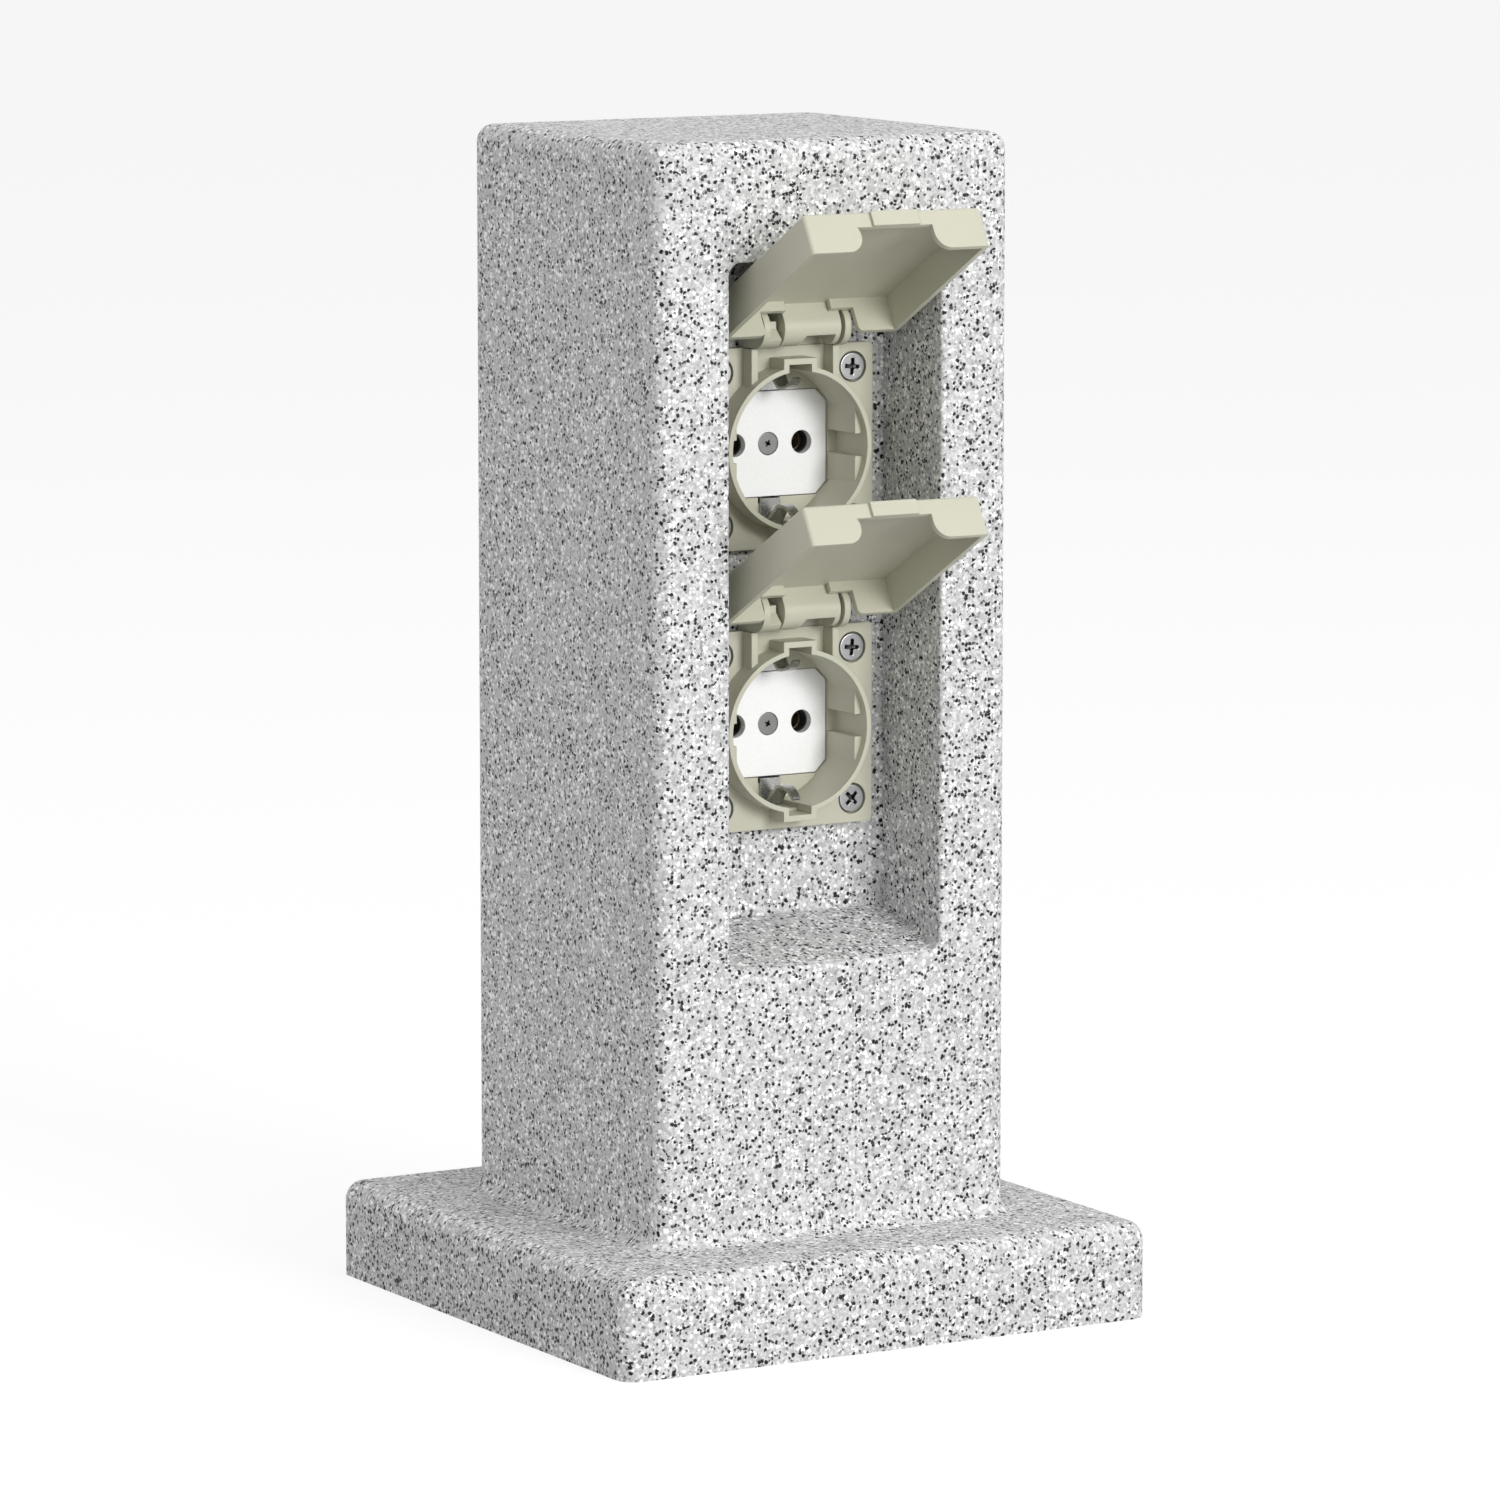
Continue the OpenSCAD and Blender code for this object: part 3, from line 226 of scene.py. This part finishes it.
# Roughness of plastics and metals varies with their grain, a little below and above the look's own value
roughSpread = {
    "levels": (0.3, 0.7),       # of the grain
    "below": 0.04,
    "above": 0.06,
}


def roughFrom(nodes, links, grain, rough):
    return stepBetween(nodes, links, grain, *roughSpread["levels"],
                       rough - roughSpread["below"], rough + roughSpread["above"])


# Moulded plastics and rubber
plasticLook = {
    "pebbleGrey": {"colour": (0.515, 0.508, 0.405), "roughness": 0.38, "grain": 0.10, "edge": 0.0003},
    "whiteInsert": {"colour": (0.92, 0.92, 0.93), "roughness": 0.24, "grain": 0.03, "edge": 0.0003},
    "darkPlastic": {"colour": (0.028, 0.028, 0.031), "roughness": 0.45, "grain": 0.2, "edge": 0.0004},
    "carrierPlastic": {"colour": (0.09, 0.09, 0.095), "roughness": 0.5, "grain": 0.2, "edge": 0.0003},
    # Near-black plastic of the tubes that paint shade deep in the insert's pin holes
    "shadeLinerPlastic": {"colour": (0.022, 0.022, 0.024), "roughness": 0.5, "grain": 0.1, "edge": 0.0001},
    "ivoryPlastic": {"colour": (0.72, 0.67, 0.52), "roughness": 0.4, "grain": 0.1, "edge": 0.0003},
    "blackRubber": {"colour": (0.018, 0.018, 0.018), "roughness": 0.75, "grain": 0.5, "edge": 0.0002},
}

# Slow drift of tone, as in a thick moulding, and a fine spark-eroded grain
plasticGrain = {
    "driftScale": 35.0,
    "drift": 0.05,
    "fineNoise": (2600.0, 3.0, 0.6),
    "height": 0.00008,
    "gloss": 0.5,
}


def plasticMaterial(name, look):
    mat, nodes, links, out = newMaterial(name)
    point = objectPoint(nodes)
    slow = noise(nodes, links, point, plasticGrain["driftScale"]).outputs[0]
    fine = noise(nodes, links, point, *plasticGrain["fineNoise"]).outputs[0]
    principled(nodes, links, out, {"Specular IOR Level": plasticGrain["gloss"]}, {
        "Base Color": driftColour(nodes, links, slow, look["colour"], plasticGrain["drift"]),
        "Roughness": roughFrom(nodes, links, fine, look["roughness"]),
        "Normal": bumpFrom(nodes, links, fine, look["grain"], plasticGrain["height"], look["edge"]),
    })
    return mat


# Metals
metalLook = {
    "zincSteel": {"colour": (0.50, 0.50, 0.50), "roughness": 0.34, "edge": 0.00012},
    # Zinc that stays bright on the head, with painted shade darkening the cross recess by its depth
    "crossScrew": {"colour": (0.44, 0.44, 0.445), "roughness": 0.32, "edge": 0.00012,
                   "sunk": (0.06, 0.06, 0.06)},
    "springSteel": {"colour": (0.50, 0.50, 0.50), "roughness": 0.22, "edge": 0.00015},
    "clipSteel": {"colour": (0.42, 0.42, 0.415), "roughness": 0.24, "edge": 0.00010},
    # Its cross recess is darkened with painted shade as well
    "darkScrew": {"colour": (0.19, 0.19, 0.19), "roughness": 0.42, "edge": 0.00008,
                  "sunk": (0.03, 0.03, 0.03)},
    "brass": {"colour": (0.30, 0.25, 0.17), "roughness": 0.36, "edge": 0.00015},
}

# Drawn lines and slow spots of tone
metalGrain = {
    "stretch": (1.0, 1.0, 9.0),
    "drawnNoise": (900.0, 3.0, 0.6),
    "spotScale": 500.0,
    "drift": 0.07,
    "relief": 0.04,
    "height": 0.00005,
}


def metalMaterial(name, look):
    mat, nodes, links, out = newMaterial(name)
    point = objectPoint(nodes)
    turned = nodes.new("ShaderNodeMapping")
    turned.inputs["Scale"].default_value = metalGrain["stretch"]
    links.new(point, turned.inputs["Vector"])
    drawn = noise(nodes, links, turned.outputs[0], *metalGrain["drawnNoise"]).outputs[0]
    spots = noise(nodes, links, point, metalGrain["spotScale"]).outputs[0]
    colour = driftColour(nodes, links, spots, look["colour"], metalGrain["drift"])
    # Painted shade: the colour goes towards the dark tone where the cross recess is deep
    if "sunk" in look:
        depth = nodes.new("ShaderNodeAttribute")
        depth.attribute_name = "sunk"
        colour = mixColour(nodes, links, depth.outputs["Fac"], colour, look["sunk"])
    principled(nodes, links, out, {"Metallic": 1.0}, {
        "Base Color": colour,
        "Roughness": roughFrom(nodes, links, drawn, look["roughness"]),
        "Normal": bumpFrom(nodes, links, drawn, metalGrain["relief"], metalGrain["height"], look["edge"]),
    })
    return mat


# Wires, with bare copper ends
wireLook = {
    "sheathStart": 0.0131,      # behind the carriers' backs
    "stripTop": 0.0883,         # above the terminal strip
    "copper": (0.78, 0.36, 0.18),
    "stripeAt": 0.0017,         # distance from the post's middle plane where a second colour starts
    "brown": (0.115, 0.042, 0.018),
    "blue": (0.035, 0.115, 0.42),
    "green": (0.045, 0.26, 0.05),
    "yellow": (0.78, 0.62, 0.03),
    "dim": 0.88,                # tone of the darker spots
    "fineScale": 900.0,
    "roughness": 0.35,
    "relief": 0.1,
    "height": 0.00005,
}


def wireMaterial(name, look, sheath, stripe=None):
    mat, nodes, links, out = newMaterial(name)
    point = objectPoint(nodes)
    split = nodes.new("ShaderNodeSeparateXYZ")
    links.new(point, split.inputs[0])
    fine = noise(nodes, links, point, look["fineScale"]).outputs[0]
    colour = mixColour(nodes, links, fine, times(look[sheath], look["dim"]), look[sheath])
    if stripe:
        off = maths(nodes, links, "ABSOLUTE", split.outputs[0])
        side = maths(nodes, links, "GREATER_THAN", off, look["stripeAt"])
        colour = mixColour(nodes, links, side, colour, look[stripe])
    # The core is bare before the sheath's start and below the strip's top
    bare = maths(nodes, links, "MAXIMUM",
                 maths(nodes, links, "LESS_THAN", split.outputs[1], look["sheathStart"]),
                 maths(nodes, links, "LESS_THAN", split.outputs[2], look["stripTop"]))
    principled(nodes, links, out, {"Roughness": look["roughness"]}, {
        "Base Color": mixColour(nodes, links, bare, colour, look["copper"]),
        "Metallic": bare,
        "Normal": bumpFrom(nodes, links, fine, look["relief"], look["height"]),
    })
    return mat


finish = {"granite": graniteMaterial(graniteLook)}
for name, look in plasticLook.items():
    finish[name] = plasticMaterial(name, look)
for name, look in metalLook.items():
    finish[name] = metalMaterial(name, look)
for name, tints in (("brown", ["brown"]), ("blue", ["blue"]), ("earth", ["green", "yellow"])):
    finish[name + "Wire"] = wireMaterial(name + "Wire", wireLook, *tints)

postFinish = {
    "column_shell": "granite", "base_cover": "darkPlastic", "base_cover_screws": "zincSteel",
    "gland_body": "darkPlastic", "gland_locknut": "darkPlastic", "gland_seal": "blackRubber",
    "gland_cap": "darkPlastic", "terminal_strip": "ivoryPlastic", "strip_sleeves": "brass",
    "strip_clamp_screws": "zincSteel", "strip_fixing_screws": "zincSteel",
    "live_wires": "brownWire", "neutral_wires": "blueWire", "earth_wires": "earthWire",
}
socketFinish = {
    "socket_body": "pebbleGrey", "flange_gasket": "blackRubber", "flange_screws": "zincSteel",
    "lid": "pebbleGrey", "hinge_pin": "springSteel", "lid_spring": "springSteel",
    "insert": "whiteInsert", "insert_screw": "darkScrew", "earth_clip": "clipSteel",
    "contact_carrier": "carrierPlastic", "live_contact": "brass", "neutral_contact": "brass",
    "terminal_screws": "zincSteel",
}
nodeFinish = dict(postFinish)
for which in ("lower_", "upper_"):
    nodeFinish.update({which + node: name for node, name in socketFinish.items()})

for node, obj in frame["nodes"].items():
    obj.data.materials.clear()
    obj.data.materials.append(finish[nodeFinish[node]])
print("materials set on", len(nodeFinish), "nodes")

sharpAngle = 40.0               # of edges that stay sharp under smooth shading
mergeDistance = 1e-7


def gridMesh(name, points, material, capped=True):
    # points is rows x columns x 3; rows run along the piece, columns go round it and close
    rows, columns = points.shape[:2]
    number = np.arange(rows * columns).reshape(rows, columns)
    number = np.hstack([number, number[:, :1]])
    faces = np.stack([number[:-1, :-1], number[:-1, 1:], number[1:, 1:], number[1:, :-1]], axis=-1)
    caps = []
    if capped:
        caps = [number[0, :columns][::-1].tolist(), number[-1, :columns].tolist()]
    mesh = bpy.data.meshes.new(name)
    mesh.from_pydata(points.reshape(-1, 3).tolist(), [], faces.reshape(-1, 4).tolist() + caps)
    mesh.update()
    mesh.materials.append(finish[material])
    mesh.shade_smooth()
    mesh.set_sharp_from_angle(angle=math.radians(sharpAngle))
    piece = bpy.data.objects.new(name, mesh)
    bpy.context.collection.objects.link(piece)
    return piece


def joined(name, pieces):
    with bpy.context.temp_override(active_object=pieces[0], selected_editable_objects=pieces):
        bpy.ops.object.join()
    pieces[0].name = name
    return pieces[0]


def pointedOut(piece):
    shape = bmesh.new()
    shape.from_mesh(piece.data)
    bmesh.ops.remove_doubles(shape, verts=shape.verts, dist=mergeDistance)
    bmesh.ops.recalc_face_normals(shape, faces=shape.faces)
    shape.to_mesh(piece.data)
    shape.free()


def corners(node):
    return (np.array(corner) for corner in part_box(node))


def angles(steps):
    return np.linspace(0.0, 2 * np.pi, steps, endpoint=False)


hingeAt = {joint["child"]: np.array(joint["pos_m"]) for joint in frame["joints"]}

# Torsion spring of a lid: close turns round the hinge pin and a straight leg along it
springLook = {
    "wire": 0.0008,
    "coilRadius": 0.00155,
    "turns": 4,
    "pitch": 0.00095,
    "legAngle": 25.0,
    "legInset": 0.2,            # how far the leg starts inside the CAD leg's end, in wire radii
    "blend": 0.0007,            # length over which the leg bends into the coil
    "blendTurn": 25.0,
    "turnSteps": 40,
    "legSteps": 12,
    "blendSteps": 9,
    "ringSteps": 12,
}


def lidSpring(which, look):
    low, high = corners(which + "lid_spring")
    axis = hingeAt[which + "lid"]
    half = look["wire"] / 2
    coilLength = look["turns"] * look["pitch"]
    bendTurn = math.radians(look["blendTurn"])
    start = high[0] - half - coilLength
    # Route: angle = legAngle + 360 x turns x t over the coil, x grows evenly with t; the leg keeps its angle
    along = np.linspace(0.0, 1.0, look["turns"] * look["turnSteps"])
    legX = np.linspace(low[0] + half * look["legInset"], start - look["blend"], look["legSteps"])[:-1]
    ease = np.linspace(0.0, 1.0, look["blendSteps"])[:-1]
    x = np.concatenate([legX, start - look["blend"] * (1 - ease), start + coilLength * along])
    turn = math.radians(look["legAngle"]) + np.concatenate(
        [np.zeros(len(legX)), bendTurn * ease ** 2, bendTurn + 2 * np.pi * look["turns"] * along])
    outward = np.stack([np.zeros_like(turn), np.cos(turn), np.sin(turn)], axis=1)
    route = np.stack([x, 0 * x, 0 * x], axis=1) + look["coilRadius"] * outward
    # Ring at each point: radius x (outward x cos v + side x sin v), side = direction of travel x outward
    travel = np.gradient(route, axis=0)
    travel /= np.linalg.norm(travel, axis=1, keepdims=True)
    side = np.cross(travel, outward)
    v = angles(look["ringSteps"])
    ring = outward[:, None] * np.cos(v)[None, :, None] + side[:, None] * np.sin(v)[None, :, None]
    points = route[:, None] + half * ring + np.array([0.0, axis[1], axis[2]])
    piece = gridMesh(which + "spring_wire", points, "springSteel")
    pointedOut(piece)
    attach(piece, "post")
    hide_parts(which + "lid_spring")


# Form that both kinds of screw share: steps of the surface, its tip, and the depths of the cross
screwForm = {
    "aroundSteps": 112,
    "faceSteps": 38,
    "edgeSteps": 6,
    "faceStart": 0.00006,       # radius of the small flat disc in the middle of the face
    "tipLength": 0.0006,
    "tipShare": 0.7,            # tip's radius in shank radii
    "endFade": 0.0005,          # length over which a wing rises at its end
    "middleDepth": 1.25,        # depths in wing depths
    "fall": 0.45,
    "pitDepth": 1.3,
    # darken sets how fast the painted shade in the recess builds up with depth
    "darken": 2.0,              # the sunk attribute reaches 1 at half the wing depth
}

# Flange screws: countersunk heads with a cross recess whose wings rise towards their ends
screwLook = {
    "headRadius": 0.00345,
    "rim": 0.0006,
    "cone": 0.0018,
    "shankRadius": 0.0015,
    "edge": 0.00022,
    "wingLength": 0.0021,
    "wingHalfWidth": 0.00041,
    "wallWidth": 0.00012,
    "wingDepth": 0.0011,
    "pitRadius": 0.0008,
    "turns": {(-1, -1): 20.0, (-1, 1): 64.0, (1, -1): 45.0, (1, 1): 5.0},
}

# Screw in the middle of the insert: a flat head with a small cross
insertScrewLook = {
    "headRadius": 0.0028,
    "rim": 0.0011,
    "cone": 0.0001,
    "shankRadius": 0.0014,
    "edge": 0.00016,
    "wingLength": 0.00085,
    "wingHalfWidth": 0.00021,
    "wallWidth": 0.00010,
    "wingDepth": 0.0007,
    "pitRadius": 0.00042,
    "turn": 28.0,
}


def recessDepth(x, z, look):
    # Depth of the cross: the deeper of two wings, each a band about an axis that fades at its sides and its
    # end, and deepest in the middle
    deep = np.zeros_like(x)
    for along, across in ((np.abs(x), np.abs(z)), (np.abs(z), np.abs(x))):
        wall = np.clip((look["wingHalfWidth"] - across) / look["wallWidth"] + 0.5, 0.0, 1.0)
        end = np.clip((look["wingLength"] - along) / screwForm["endFade"], 0.0, 1.0)
        share = screwForm["middleDepth"] - screwForm["fall"] * along / look["wingLength"]
        deep = np.maximum(deep, wall * end * look["wingDepth"] * share)
    reach = np.hypot(x, z)
    pit = np.clip((look["pitRadius"] - reach) / look["wallWidth"] + 0.5, 0.0, 1.0)
    return np.maximum(deep, pit * look["wingDepth"] * screwForm["pitDepth"])


def screwSurface(look, length, turn):
    # A surface of revolution about the screw's axis. Its profile runs from the middle of the head's face,
    # over the rim and the cone, down the shank to the tip; the recess is pressed into the face.
    around = angles(screwForm["aroundSteps"])
    face = np.linspace(screwForm["faceStart"], look["headRadius"] - look["edge"], screwForm["faceSteps"])
    bend = np.linspace(0.0, np.pi / 2, screwForm["edgeSteps"])[1:]
    shank = look["shankRadius"]
    radius = np.concatenate([
        face, look["headRadius"] - look["edge"] * (1 - np.sin(bend)),
        [look["headRadius"], shank, shank, shank * screwForm["tipShare"]]])
    depth = np.concatenate([
        0 * face, look["edge"] * (1 - np.cos(bend)),
        [look["rim"], look["rim"] + look["cone"], length - screwForm["tipLength"], length]])
    x = radius[:, None] * np.cos(around)
    z = radius[:, None] * np.sin(around)
    y = np.repeat(depth[:, None], len(around), axis=1)
    sunk = 0 * y
    sunk[:len(face)] = recessDepth(x[:len(face)], z[:len(face)], look)
    c, s = math.cos(math.radians(turn)), math.sin(math.radians(turn))
    # The recess depth in wing depths is also returned to paint shade into the recess
    return np.stack([x * c + z * s, y + sunk, z * c - x * s], axis=-1), sunk / look["wingDepth"]


def pressedScrew(name, look, place, length, turn, material):
    surface, sunk = screwSurface(look, length, turn)
    screw = gridMesh(name, surface + place, material)
    # The recess depth is kept on the mesh, where it paints shade into the cross
    sunkAt = screw.data.attributes.new("sunk", "FLOAT", "POINT")
    sunkAt.data.foreach_set("value", np.clip(sunk * screwForm["darken"], 0.0, 1.0).ravel())
    return screw


def flangeScrews(which, look):
    low, high = corners(which + "flange_screws")
    middle = (low + high) / 2
    half = (high[0] - low[0]) / 2 - look["headRadius"]
    pieces = []
    for (sideX, sideZ), turn in look["turns"].items():
        place = np.array([middle[0] + sideX * half, low[1], middle[2] + sideZ * half])
        pieces.append(pressedScrew(which + "screw", look, place, high[1] - low[1], turn, "crossScrew"))
    piece = joined(which + "cross_screws", pieces)
    pointedOut(piece)
    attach(piece, "post")
    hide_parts(which + "flange_screws")


def insertScrew(which, look):
    low, high = corners(which + "insert_screw")
    place = np.array([(low[0] + high[0]) / 2, low[1], (low[2] + high[2]) / 2])
    piece = pressedScrew(which + "middle_screw", look, place, high[1] - low[1], look["turn"], "darkScrew")
    pointedOut(piece)
    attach(piece, "post")
    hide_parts(which + "insert_screw")


# Dark tubes in the insert's pin holes, from a little behind its face: painted shade that keeps the deep part
# of each hole dark
shadeLinerLook = {
    "pinPitch": 0.019,
    "outerRadius": 0.00288,
    "innerRadius": 0.00262,
    "behindFace": 0.0021,
    "aroundSteps": 48,
}


def pinShadeLiners(which, look):
    low, high = corners(which + "insert")
    # A surface of revolution about each hole's axis; its profile is a narrow closed rectangle
    front, back = look["behindFace"], high[1] - low[1]
    outer, inner = look["outerRadius"], look["innerRadius"]
    radius = np.array([outer, outer, inner, inner, outer])
    depth = np.array([front, back, back, front, front])
    around = angles(look["aroundSteps"])
    x = radius[:, None] * np.cos(around)
    z = radius[:, None] * np.sin(around)
    ring = np.stack([x, np.repeat(depth[:, None], len(around), axis=1), z], axis=-1)
    pieces = []
    # Each hole gets a dark tube as painted shade
    for side in (-1, 1):
        place = np.array([side * look["pinPitch"] / 2, low[1], (low[2] + high[2]) / 2])
        pieces.append(gridMesh(which + "shade_liner", ring + place, "shadeLinerPlastic", capped=False))
    piece = joined(which + "pin_shade_liners", pieces)
    pointedOut(piece)
    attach(piece, "post")


for which in ("lower_", "upper_"):
    lidSpring(which, springLook)
    flangeScrews(which, screwLook)
    insertScrew(which, insertScrewLook)
    pinShadeLiners(which, shadeLinerLook)
print("springs, screws and pin liners made")

# Studio
studio = {
    "floorSize": 30.0,
    "floorTone": 0.50,          # floor as the light meets it
    "floorShown": 0.22,         # floor as the camera sees it, with a glow that keeps it nearly white
    "floorGlow": 0.82,
    "ambient": 0.44,
    "backdrop": 1.0,
    "aim": (0.0, 0.0, 0.16),
    # Lamps: place, size and power
    "key": ((0.45, -2.40, 0.85), 1.0, 44.0),
    "fill": ((-1.9, -1.7, 0.8), 1.0, 4.5),
    "side": ((-2.0, 1.4, 0.8), 1.2, 10.0),
    "top": ((0.2, -0.6, 2.6), 1.2, 17.0),
}


def lookAt(obj, target):
    direction = Vector(target) - obj.location
    obj.rotation_euler = direction.to_track_quat("-Z", "Y").to_euler()


def grey(tone):
    return (tone, tone, tone, 1.0)


def shownAs(nodes, links, out, lit, shown):
    # One shader for the light that falls on the object, another for what the camera and the gloss see
    path = nodes.new("ShaderNodeLightPath")
    seen = maths(nodes, links, "MAXIMUM", path.outputs["Is Camera Ray"], path.outputs["Is Glossy Ray"])
    seen = maths(nodes, links, "MAXIMUM", seen, path.outputs["Is Transmission Ray"])
    pick = nodes.new("ShaderNodeMixShader")
    for socket, source in zip(pick.inputs, (seen, lit.outputs[0], shown.outputs[0])):
        links.new(source, socket)
    links.new(pick.outputs[0], out.inputs[0])


def studioFloor(look):
    h = look["floorSize"] / 2
    mesh = bpy.data.meshes.new("floor")
    mesh.from_pydata([(-h, -h, 0), (h, -h, 0), (h, h, 0), (-h, h, 0)], [], [(0, 1, 2, 3)])
    floor = bpy.data.objects.new("floor", mesh)
    bpy.context.collection.objects.link(floor)
    mat, nodes, links, out = newMaterial("paleFloor")
    dull = nodes.new("ShaderNodeBsdfDiffuse")
    dull.inputs["Color"].default_value = grey(look["floorTone"])
    shown = nodes.new("ShaderNodeBsdfDiffuse")
    shown.inputs["Color"].default_value = grey(look["floorShown"])
    glow = nodes.new("ShaderNodeEmission")
    glow.inputs["Strength"].default_value = look["floorGlow"]
    both = nodes.new("ShaderNodeAddShader")
    links.new(shown.outputs[0], both.inputs[0])
    links.new(glow.outputs[0], both.inputs[1])
    shownAs(nodes, links, out, dull, both)
    mesh.materials.append(mat)


def studioWorld(look):
    world = bpy.data.worlds.new("paleRoom")
    bpy.context.scene.world = world
    world.use_nodes = True
    nodes, links = world.node_tree.nodes, world.node_tree.links
    nodes.clear()
    out = nodes.new("ShaderNodeOutputWorld")
    soft = nodes.new("ShaderNodeBackground")
    setInputs(soft, {"Color": grey(1.0), "Strength": look["ambient"]})
    white = nodes.new("ShaderNodeBackground")
    setInputs(white, {"Color": grey(1.0), "Strength": look["backdrop"]})
    shownAs(nodes, links, out, soft, white)


def softLamp(name, place, size, power, aim):
    data = bpy.data.lights.new(name, "AREA")
    data.shape = "SQUARE"
    data.size = size
    data.energy = power
    lamp = bpy.data.objects.new(name, data)
    bpy.context.collection.objects.link(lamp)
    lamp.location = place
    lookAt(lamp, aim)


studioFloor(studio)
studioWorld(studio)
for lamp in ("key", "fill", "side", "top"):
    softLamp(lamp + "Lamp", *studio[lamp], studio["aim"])

# Camera, fitted to the corners of the post and its base
view = {
    "place": (-0.97275, -1.67826, 0.41623),
    "tiltDown": 8.130,
    "turn": 30.178,
    "lens": 187.74,
    "sensor": 36.0,
    "nearest": 0.05,
    "farthest": 60.0,
}
cameraData = bpy.data.cameras.new("photoCamera")
cameraData.sensor_fit = "HORIZONTAL"
cameraData.sensor_width = view["sensor"]
cameraData.lens = view["lens"]
cameraData.clip_start = view["nearest"]
cameraData.clip_end = view["farthest"]
camera = bpy.data.objects.new("photoCamera", cameraData)
bpy.context.collection.objects.link(camera)
camera.location = view["place"]
camera.rotation_euler = (math.radians(90.0 - view["tiltDown"]), 0.0, math.radians(-view["turn"]))
bpy.context.scene.camera = camera
bpy.context.scene.view_settings.view_transform = "Standard"
print("studio and camera set")
